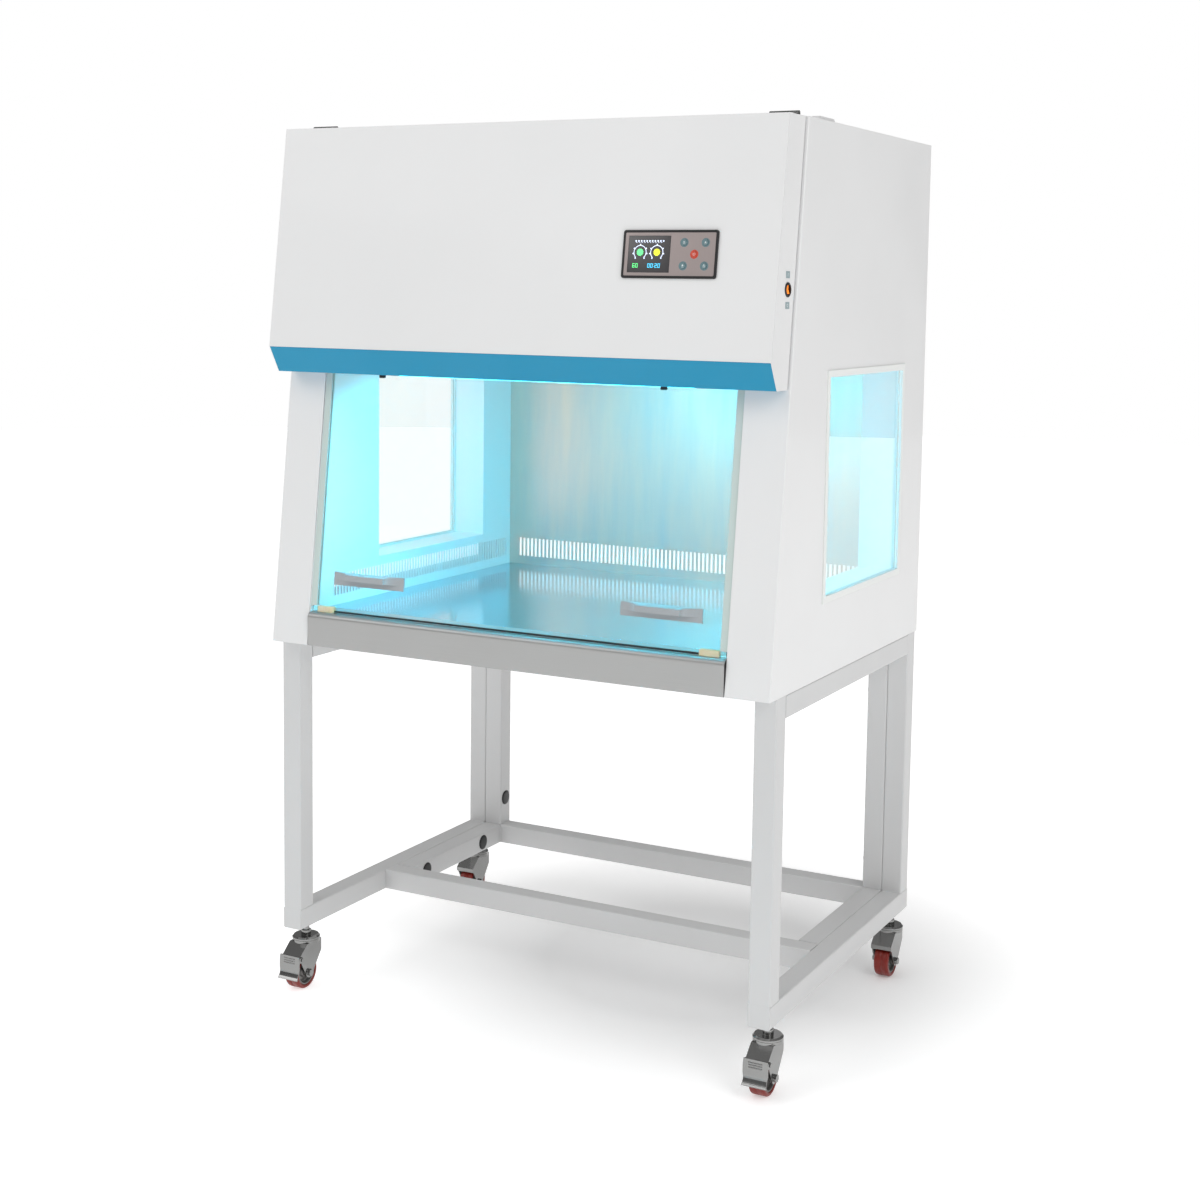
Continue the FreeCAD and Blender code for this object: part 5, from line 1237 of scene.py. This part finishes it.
def digit_bars(character, x, z, width, height, bar):
    """Rectangles of a seven-segment figure."""
    middle = z + height / 2
    top = z + height
    spots = {
        "a": (x, top - bar, x + width, top),
        "g": (x, middle - bar / 2, x + width, middle + bar / 2),
        "d": (x, z, x + width, z + bar),
        "f": (x, middle, x + bar, top),
        "b": (x + width - bar, middle, x + width, top),
        "e": (x, z, x + bar, middle),
        "c": (x + width - bar, z, x + width, middle),
    }
    for name in SEGMENTS[character]:
        yield block(*spots[name])


class CABINET_OT_finish_controls(bpy.types.Operator):
    """Control panel with its display's marks, buttons and the rocker switch"""

    bl_idname = "cabinet.finish_controls"
    bl_label = "Finish the Controls"

    def execute(self, context):
        metals = context.scene.cabinet_metal
        black = black_plastic(context)
        for node in ("control_housing", "switch_bezel", "power_inlet"):
            dress(node, black)
        dress("control_fascia", finish("Fascia", metals.fascia, 0.36, metallic=0.7,
                                       relief="Brushed grain", stretch=(1500.0, 30.0, 30.0),
                                       depth=0.00001, tone=0.03, edge=0.0003))
        dress("display", finish("Display window", linear(52, 50, 52), 0.12, depth=0.0, tone=0.05,
                                coat=0.6, edge=0.0003))
        teal = finish("Button cap", linear(104, 132, 138), 0.24, scale=300.0, depth=0.00001,
                      tone=0.06, coat=0.4, edge=0.0008)
        red = finish("Stop cap", linear(206, 78, 58), 0.24, scale=300.0, depth=0.00001, tone=0.06,
                     coat=0.4, edge=0.0008)
        for name in BUTTON_SPOTS:
            dress("button_" + name, red if name == "stop" else teal)
        dress("rocker", finish("Lit rocker", linear(255, 120, 20), 0.25, scale=300.0,
                               depth=0.00001, tone=0.1, glow=(1.0, 0.24, 0.02), power=0.9,
                               edge=0.0006))
        self.draw_display(context)
        self.ring_buttons(teal, red)
        self.draw_button_marks()
        self.add_switch_plates()
        return {"FINISHED"}

    def draw_display(self, context):
        place = panel_frame()
        centre_x = -37.0
        near, far = -2.72, -2.45
        left, right = centre_x - 16.5, centre_x + 14.0
        gauge_z = 3.0

        def dots(work):
            for number in range(11):
                x = centre_x - 25 + number * 5.0
                circle = arc_points((x, 21.5), 1.5, 0, 315, 7)
                prism(work, circle, near, far, place)
            for number in range(10):
                x = centre_x - 25 + number * 5.0
                prism(work, block(x, 18.6, x + 2.6, 19.2), near, far, place)

        def arcs(work):
            for x in (left, right):
                band(work, arc_points((x, gauge_z), 10.6, -50, 230, 30),
                     arc_points((x, gauge_z), 11.7, -50, 230, 30), near, far, place)
                for angle in (-50, -10, 30, 90, 150, 190, 230):
                    spot = arc_points((x, gauge_z), 12.6, angle, angle, 1)[0]
                    prism(work, arc_points(spot, 1.3, 0, 300, 5), near, far, place)

        def badge(x):
            def draw(work):
                points = []
                for number in range(24):
                    reach = 6.4 if number % 2 else 5.3
                    points.append(arc_points((x, gauge_z), reach, number * 15, number * 15, 1)[0])
                prism(work, points, near, far, place)
            return draw

        def figures(text, x, width):
            def draw(work):
                at = x
                for character in text:
                    if character == ":":
                        for z in (-20.5, -16.8):
                            prism(work, block(at, z, at + 0.9, z + 0.9), near, far, place)
                        at += 2.0
                        continue
                    for bars in digit_bars(character, at, -22.3, width, 7.0, 1.05):
                        prism(work, bars, near, far, place)
                    at += width + 1.3
            return draw

        white = screen_ink("Display white", linear(206, 216, 240), context)
        green = screen_ink("Display green", linear(96, 214, 130), context)
        yellow = screen_ink("Display yellow", linear(208, 212, 52), context)
        cyan = screen_ink("Display cyan", linear(74, 190, 222), context)
        for name, draw, ink in (
            ("display_dots", dots, white),
            ("display_arcs", arcs, white),
            ("display_fan_badge", badge(left), green),
            ("display_lamp_badge", badge(right), yellow),
            ("display_level", figures("60", centre_x - 29, 4.2), green),
            ("display_timer", figures("00:20", centre_x - 1.5, 4.2), cyan),
        ):
            piece_from(name, mesh_from(name, draw), DOOR, ink)

    def ring_buttons(self, teal, red):
        """Wide coloured rings on the fascia round the buttons."""
        place = panel_frame()
        low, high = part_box("button_stop")
        inner = (high.x - low.x) / 2 / MM + 0.35
        outer = 7.4
        near, far = -2.85, -2.45

        def rings(spots):
            def draw(work):
                for spot in spots:
                    band(work, arc_points(spot, inner, 0, 359, 40),
                         arc_points(spot, outer, 0, 359, 40), near, far, place)
            return draw

        for name, spots, paint in (
            ("button_rings", [spot for key, spot in BUTTON_SPOTS.items() if key != "stop"], teal),
            ("stop_ring", [BUTTON_SPOTS["stop"]], red),
        ):
            piece_from(name, mesh_from(name, rings(spots)), DOOR, paint)

    def draw_button_marks(self):
        """A small plain sign on each button, riding with it."""
        pale = finish("Button sign", linear(224, 230, 230), 0.4, depth=0.0)
        place = panel_frame()
        near, far = -4.12, -3.95

        def sign(name, x, z):
            def draw(work):
                if name == "stop":
                    band(work, arc_points((x, z), 1.7, -240, 60, 20),
                         arc_points((x, z), 2.2, -240, 60, 20), near, far, place)
                    prism(work, block(x - 0.25, z + 0.4, x + 0.25, z + 2.8), near, far, place)
                elif name == "up_left":
                    prism(work, arc_points((x, z + 0.6), 1.1, 0, 330, 11), near, far, place)
                    for angle in range(0, 360, 45):
                        inner = arc_points((x, z + 0.6), 1.5, angle - 6, angle + 6, 1)
                        outer = arc_points((x, z + 0.6), 2.4, angle - 4, angle + 4, 1)
                        prism(work, [*inner, *outer[::-1]], near, far, place)
                elif name == "up_right":
                    prism(work, [(x - 1.8, z - 0.8), (x + 1.8, z - 0.8), (x, z + 2.2)], near, far,
                          place)
                elif name == "low_left":
                    prism(work, arc_points((x, z + 0.6), 1.5, 0, 330, 11), near, far, place)
                else:
                    for angle in (90, 210, 330):
                        prism(work, arc_points(arc_points((x, z + 0.5), 1.3, angle, angle, 1)[0],
                                               0.9, 0, 315, 7), near, far, place)
                if name != "stop":
                    prism(work, block(x - 2.0, z - 2.4, x + 2.0, z - 1.9), near, far, place)
            return draw

        for name, (x, z) in BUTTON_SPOTS.items():
            title = "sign_" + name
            piece_from(title, mesh_from(title, sign(name, x, z)), "button_" + name, pale)

    def add_switch_plates(self):
        """Two bare plates above and below the rocker."""
        low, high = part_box("switch_bezel")
        middle_y = (low.y + high.y) / 2
        middle_z = (low.z + high.z) / 2
        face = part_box("front_panel")[1].x
        grey = finish("Plate", linear(150, 168, 172), 0.35, depth=0.0, tone=0.03, edge=0.0003)
        pale = finish("Button sign", linear(224, 230, 230), 0.4, depth=0.0)
        lower, upper = -25 * MM, 24 * MM
        half = 5.6 * MM
        wide = 8 * MM
        tall = 2.8 * MM
        seat = 0.2 * MM
        face_out = 0.35 * MM

        def plates(work):
            for step in (lower, upper):
                z = middle_z + step

                def place(u, v, depth):
                    return Vector((face + depth, middle_y + u, z + v))

                prism(work, block(-wide, -half, wide, half), 0.0, 0.25 * MM, place)

        def signs(work):
            def above(u, v, depth):
                return Vector((face + depth, middle_y + u, middle_z + upper + v))

            def below(u, v, depth):
                return Vector((face + depth, middle_y + u, middle_z + lower + v))

            prism(work, block(-0.6 * MM, -tall, 0.6 * MM, tall), seat, face_out, above)
            band(work, arc_points((0, 0), 1.7 * MM, 0, 345, 23),
                 arc_points((0, 0), tall, 0, 345, 23), seat, face_out, below)

        piece_from("switch_plates", mesh_from("switch_plates", plates), DOOR, grey)
        piece_from("switch_signs", mesh_from("switch_signs", signs), DOOR, pale)


class CABINET_OT_drive_screws(bpy.types.Operator):
    """Screws of the hinges, the back panel and the inlet"""

    bl_idname = "cabinet.drive_screws"
    bl_label = "Drive the Screws"

    def execute(self, context):
        sizes = context.scene.cabinet_fasteners
        zinc = zinc_plate(context)
        tree = screw_tree()
        head = self.make_head(sizes)
        up = (0.0, 0.0, 0.0)
        back = (-math.pi / 2, 0.0, 0.0)
        low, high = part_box("back_panel")
        edge = 14 * MM
        rows = [low.z + edge + (high.z - low.z - 2 * edge) * step / 4 for step in range(5)]
        columns = [low.x + edge + (high.x - low.x - 2 * edge) * step / 4 for step in range(5)]
        points = {(x, high.y, z) for x in (columns[0], columns[-1]) for z in rows}
        points |= {(x, high.y, z) for x in columns for z in (rows[0], rows[-1])}
        self.add("back_screws", tree, head, sizes.head, zinc, ROOT, back, sorted(points), "zinc")
        for node, body in (("hinge_roof_leaves", ROOT), ("hinge_panel_leaves", DOOR)):
            low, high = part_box(node)
            width = 51 * MM
            leaf_top = low.z + 1.5 * MM
            toward_roof = node == "hinge_roof_leaves"
            y = high.y - 9 * MM if toward_roof else low.y + 9 * MM
            points = []
            for centre in (low.x + width / 2, high.x - width / 2):
                for step in (-15, 0, 15):
                    points.append((centre + step * MM, y, leaf_top))
            self.add(node + "_screws", tree, head, 3.2 * MM, zinc, body, up, points, "zinc")
        low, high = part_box("power_inlet")
        middle_z = (low.z + high.z) / 2
        points = [(x, high.y - 1.1 * MM, middle_z) for x in (low.x + 5.5 * MM, high.x - 5.5 * MM)]
        self.add("inlet_screws", tree, head, 2.6 * MM, zinc, ROOT, back, points, "zinc")
        bpy.data.objects.remove(head)
        return {"FINISHED"}

    def make_head(self, sizes):
        """Domed head of radius 1 with a cross recess, standing on the XY plane."""
        sides = 24
        height = sizes.height / sizes.head

        def build(work):
            def ring(radius, z, wave=0.0):
                made = []
                for number in range(sides):
                    angle = 2 * math.pi * number / sides
                    arm = 1.0 if number % 6 == 0 else (0.62 if number % 6 in (1, 5) else 0.45)
                    reach = radius * (arm if wave else 1.0)
                    made.append(work.verts.new((reach * math.cos(angle), reach * math.sin(angle),
                                                z)))
                return made

            rings = [
                ring(1.0, 0.0), ring(1.0, height * 0.3), ring(0.9, height * 0.7),
                ring(0.7, height), ring(0.5, height, 1.0), ring(0.42, height * 0.45, 1.0),
            ]
            walls(work, rings)
            work.faces.new(rings[0][::-1])
            centre = work.verts.new((0.0, 0.0, height * 0.45))
            for number in range(sides):
                work.faces.new((rings[-1][number], rings[-1][(number + 1) % sides], centre))

        made = bpy.data.objects.new("screw_head", mesh_from("screw_head", build))
        bpy.context.scene.collection.objects.link(made)
        return made

    def add(self, name, tree, head, radius, material, body, turn, points, slot):
        grow(name, tree, body, {"Head": head, "Turn": turn, "Radius": radius,
                                "Material": material}, points)


class CABINET_OT_light_lamps(bpy.types.Operator):
    """Lamps, the light that they give and the glow behind the slots"""

    bl_idname = "cabinet.light_lamps"
    bl_label = "Light the Lamps"

    def execute(self, context):
        glow = context.scene.cabinet_glow
        lamp = finish("Lamp tube", (0.8, 0.95, 1.0), 0.2, depth=0.0, glow=tuple(glow.lamp),
                      power=6.0, edge=0.0004)
        dress("uv_lamp", lamp)
        dress("led_lamp", lamp)
        rubber = context.scene.cabinet_rubber
        dress("lamp_holders", finish("Lamp holder", rubber.seal, 0.45, tone=0.02))
        low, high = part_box("led_lamp")
        uv_low, uv_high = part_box("uv_lamp")
        middle = ((low + high) / 2 + (uv_low + uv_high) / 2) / 2
        at = (middle.x, middle.y, low.z - 4 * MM)
        length = high.x - low.x
        down = (0.0, 0.32, -1.0)
        width = 0.06
        white = (1.0, 1.0, 1.0)
        self.add_area("chamber_light", at, down, length, width, glow.lamp_power, tuple(glow.lamp))
        self.add_area("white_light", at, down, length, width, glow.white_power, white)
        wall_low, wall_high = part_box("inner_back_wall")
        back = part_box("back_panel")[0].y
        slot_z = 0.7795
        slot_height = 0.05
        side_slot_y = 0.035
        side_slot_length = 0.64
        side_share = 0.8
        self.add_area("back_slot_light", (0.0, back - 1 * MM, slot_z), (0.0, -1.0, 0.0),
                      wall_high.x - wall_low.x, slot_height, glow.slot_power, white)
        for sign in (-1, 1):
            x = sign * (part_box("side_panel_right")[1].x - 3 * MM)
            self.add_area(f"side_slot_light{sign}", (x, side_slot_y, slot_z), (-sign, 0.0, 0.0),
                          side_slot_length, slot_height, glow.slot_power * side_share, white)
        return {"FINISHED"}

    def add_area(self, name, at, toward, length, width, power, colour):
        light = bpy.data.lights.new(name, "AREA")
        light.shape = "RECTANGLE"
        light.size = length
        light.size_y = width
        light.energy = power
        light.color = colour
        made = bpy.data.objects.new(name, light)
        made.location = at
        down = Vector(toward).normalized()
        across = Vector((0.0, 1.0, 0.0)) if abs(down.x) > 0.9 else Vector((1.0, 0.0, 0.0))
        upward = (-down).cross(across).normalized()
        made.matrix_world = Matrix.Translation(Vector(at)) @ Matrix(
            (across, upward, -down)
        ).transposed().to_4x4()
        bpy.context.scene.collection.objects.link(made)


class CABINET_OT_set_stage(bpy.types.Operator):
    """Floor, studio light and camera"""

    bl_idname = "cabinet.set_stage"
    bl_label = "Set the Stage"

    def execute(self, context):
        scene = context.scene
        view = scene.cabinet_view
        scene.view_settings.view_transform = "Standard"
        self.add_floor(view)
        self.add_world(scene)
        for at, size, power in KEY_LIGHTS:
            self.add_key(at, size, power)
        self.add_camera(scene, view)
        return {"FINISHED"}

    def add_floor(self, view):
        def disc(work):
            ring = [work.verts.new((x, y, 0.0)) for x, y in
                    arc_points((0.0, 0.0), view.floor, 0, 354, 59)]
            work.faces.new(ring)

        mesh = mesh_from("floor", disc)
        if mesh.polygons[0].normal.z < 0:
            mesh.flip_normals()
        floor = bpy.data.objects.new("floor", mesh)
        bpy.context.scene.collection.objects.link(floor)
        mesh.materials.append(self.pale_floor())

    def pale_floor(self):
        """Floor whose glow is dim in a patch near the cabinet and fades to white away from it: a
        painted shadow under the cabinet, and no horizon.
        """
        made = finish("Pale floor", (0.84, 0.84, 0.84), 0.8, scale=60.0, depth=0.0001,
                      tone=0.004, gloss=0.05, edge=0.0, glow=(1.0, 1.0, 1.0), power=1.0)
        tree = made.node_tree
        # Dim glow in a patch round SHADOW_PLACE: a painted shadow under the cabinet.
        span = tree.nodes.new("ShaderNodeVectorMath")
        span.operation = "LENGTH"
        shift = tree.nodes.new("ShaderNodeVectorMath")
        shift.operation = "SUBTRACT"
        shift.inputs[1].default_value = SHADOW_PLACE
        tree.links.new(object_place(tree), shift.inputs[0])
        tree.links.new(shift.outputs[0], span.inputs[0])
        away = spread(tree, span.outputs["Value"], *SHADOW_REACH)
        shade = mix_colour(tree, away, SHADOW_GLOW, FLOOR_GLOW)
        tree.links.new(shade, tree.nodes["Principled BSDF"].inputs["Emission Color"])
        return made

    def add_world(self, scene):
        """Even light from all round, dimmer in reflections, and white behind the cabinet."""
        world = bpy.data.worlds.new("studio")
        world.use_nodes = True
        scene.world = world
        tree = world.node_tree
        background = tree.nodes["Background"]
        place = tree.nodes.new("ShaderNodeTexCoord")
        split = tree.nodes.new("ShaderNodeSeparateXYZ")
        tree.links.new(place.outputs["Generated"], split.inputs[0])
        level = tree.nodes.new("ShaderNodeMapRange")
        tree.links.new(split.outputs["Z"], level.inputs["Value"])
        level.inputs["From Min"].default_value = -0.2
        level.inputs["From Max"].default_value = 1.0
        level.inputs["To Min"].default_value = WORLD_LIGHT[0]
        level.inputs["To Max"].default_value = WORLD_LIGHT[1]
        path = tree.nodes.new("ShaderNodeLightPath")
        shaded = math_node(tree, "MULTIPLY", path.outputs["Is Glossy Ray"], GLOSSY_SHADE)
        kept = math_node(tree, "SUBTRACT", 1.0, shaded)
        lit = math_node(tree, "MULTIPLY", level.outputs["Result"], kept)
        direct = math_node(
            tree, "MAXIMUM", path.outputs["Is Camera Ray"], path.outputs["Is Transmission Ray"]
        )
        seen = math_node(tree, "MAXIMUM", direct, lit)
        tree.links.new(seen, background.inputs["Strength"])
        background.inputs["Color"].default_value = (1.0, 1.0, 1.0, 1.0)

    def add_key(self, at, size, power):
        light = bpy.data.lights.new("softbox", "AREA")
        light.size = size
        light.energy = power
        made = bpy.data.objects.new("softbox", light)
        made.location = at
        aim = Vector(KEY_AIM) - Vector(at)
        made.rotation_euler = aim.to_track_quat("-Z", "Y").to_euler()
        bpy.context.scene.collection.objects.link(made)

    def add_camera(self, scene, view):
        yaw, pitch, roll = (math.radians(angle) for angle in CAMERA_TURN)
        forward = Vector((math.sin(yaw) * math.cos(pitch), math.cos(yaw) * math.cos(pitch),
                          math.sin(pitch)))
        right = Vector((math.cos(yaw), -math.sin(yaw), 0.0))
        up = right.cross(forward)
        across = right * math.cos(roll) + up * math.sin(roll)
        upward = up * math.cos(roll) - right * math.sin(roll)
        data = bpy.data.cameras.new("camera")
        data.sensor_width = SENSOR
        data.lens = view.lens
        data.shift_x, data.shift_y = CAMERA_SHIFT
        data.clip_end = VIEW_REACH
        camera = bpy.data.objects.new("camera", data)
        camera.matrix_world = Matrix.Translation(CAMERA_PLACE) @ Matrix(
            (across, upward, -forward)
        ).transposed().to_4x4()
        scene.collection.objects.link(camera)
        scene.camera = camera


STEPS = (
    CABINET_OT_set_stage,
    CABINET_OT_paint_shell,
    CABINET_OT_paint_stand,
    CABINET_OT_line_chamber,
    CABINET_OT_fit_ceiling,
    CABINET_OT_glaze,
    CABINET_OT_finish_sash,
    CABINET_OT_finish_front,
    CABINET_OT_finish_casters,
    CABINET_OT_finish_controls,
    CABINET_OT_drive_screws,
    CABINET_OT_light_lamps,
)

CHOICES = {
    "cabinet_paint": PaintChoices,
    "cabinet_metal": MetalChoices,
    "cabinet_rubber": RubberChoices,
    "cabinet_glow": GlowChoices,
    "cabinet_ceiling": CeilingChoices,
    "cabinet_fasteners": FastenerChoices,
    "cabinet_view": ViewChoices,
}


class CABINET_PT_finishes(bpy.types.Panel):
    """Choices and steps of the cabinet"""

    bl_idname = "CABINET_PT_finishes"
    bl_label = "Cabinet"
    bl_space_type = "VIEW_3D"
    bl_region_type = "UI"
    bl_category = "Cabinet"

    def draw(self, context):
        layout = self.layout
        for name, group in CHOICES.items():
            column = layout.column(align=True)
            column.label(text=name.replace("cabinet_", "").capitalize())
            for key in group.__annotations__:
                column.prop(getattr(context.scene, name), key)
        for step in STEPS:
            layout.operator(step.bl_idname)


def register():
    for name, group in CHOICES.items():
        bpy.utils.register_class(group)
        setattr(bpy.types.Scene, name, PointerProperty(type=group))
    for step in STEPS:
        bpy.utils.register_class(step)
    bpy.utils.register_class(CABINET_PT_finishes)


def unregister():
    bpy.utils.unregister_class(CABINET_PT_finishes)
    for step in reversed(STEPS):
        bpy.utils.unregister_class(step)
    for name, group in reversed(CHOICES.items()):
        delattr(bpy.types.Scene, name)
        bpy.utils.unregister_class(group)


def main():
    register()
    for step in STEPS:
        section, name = step.bl_idname.split(".")
        getattr(getattr(bpy.ops, section), name)()


if __name__ == "__main__":
    main()
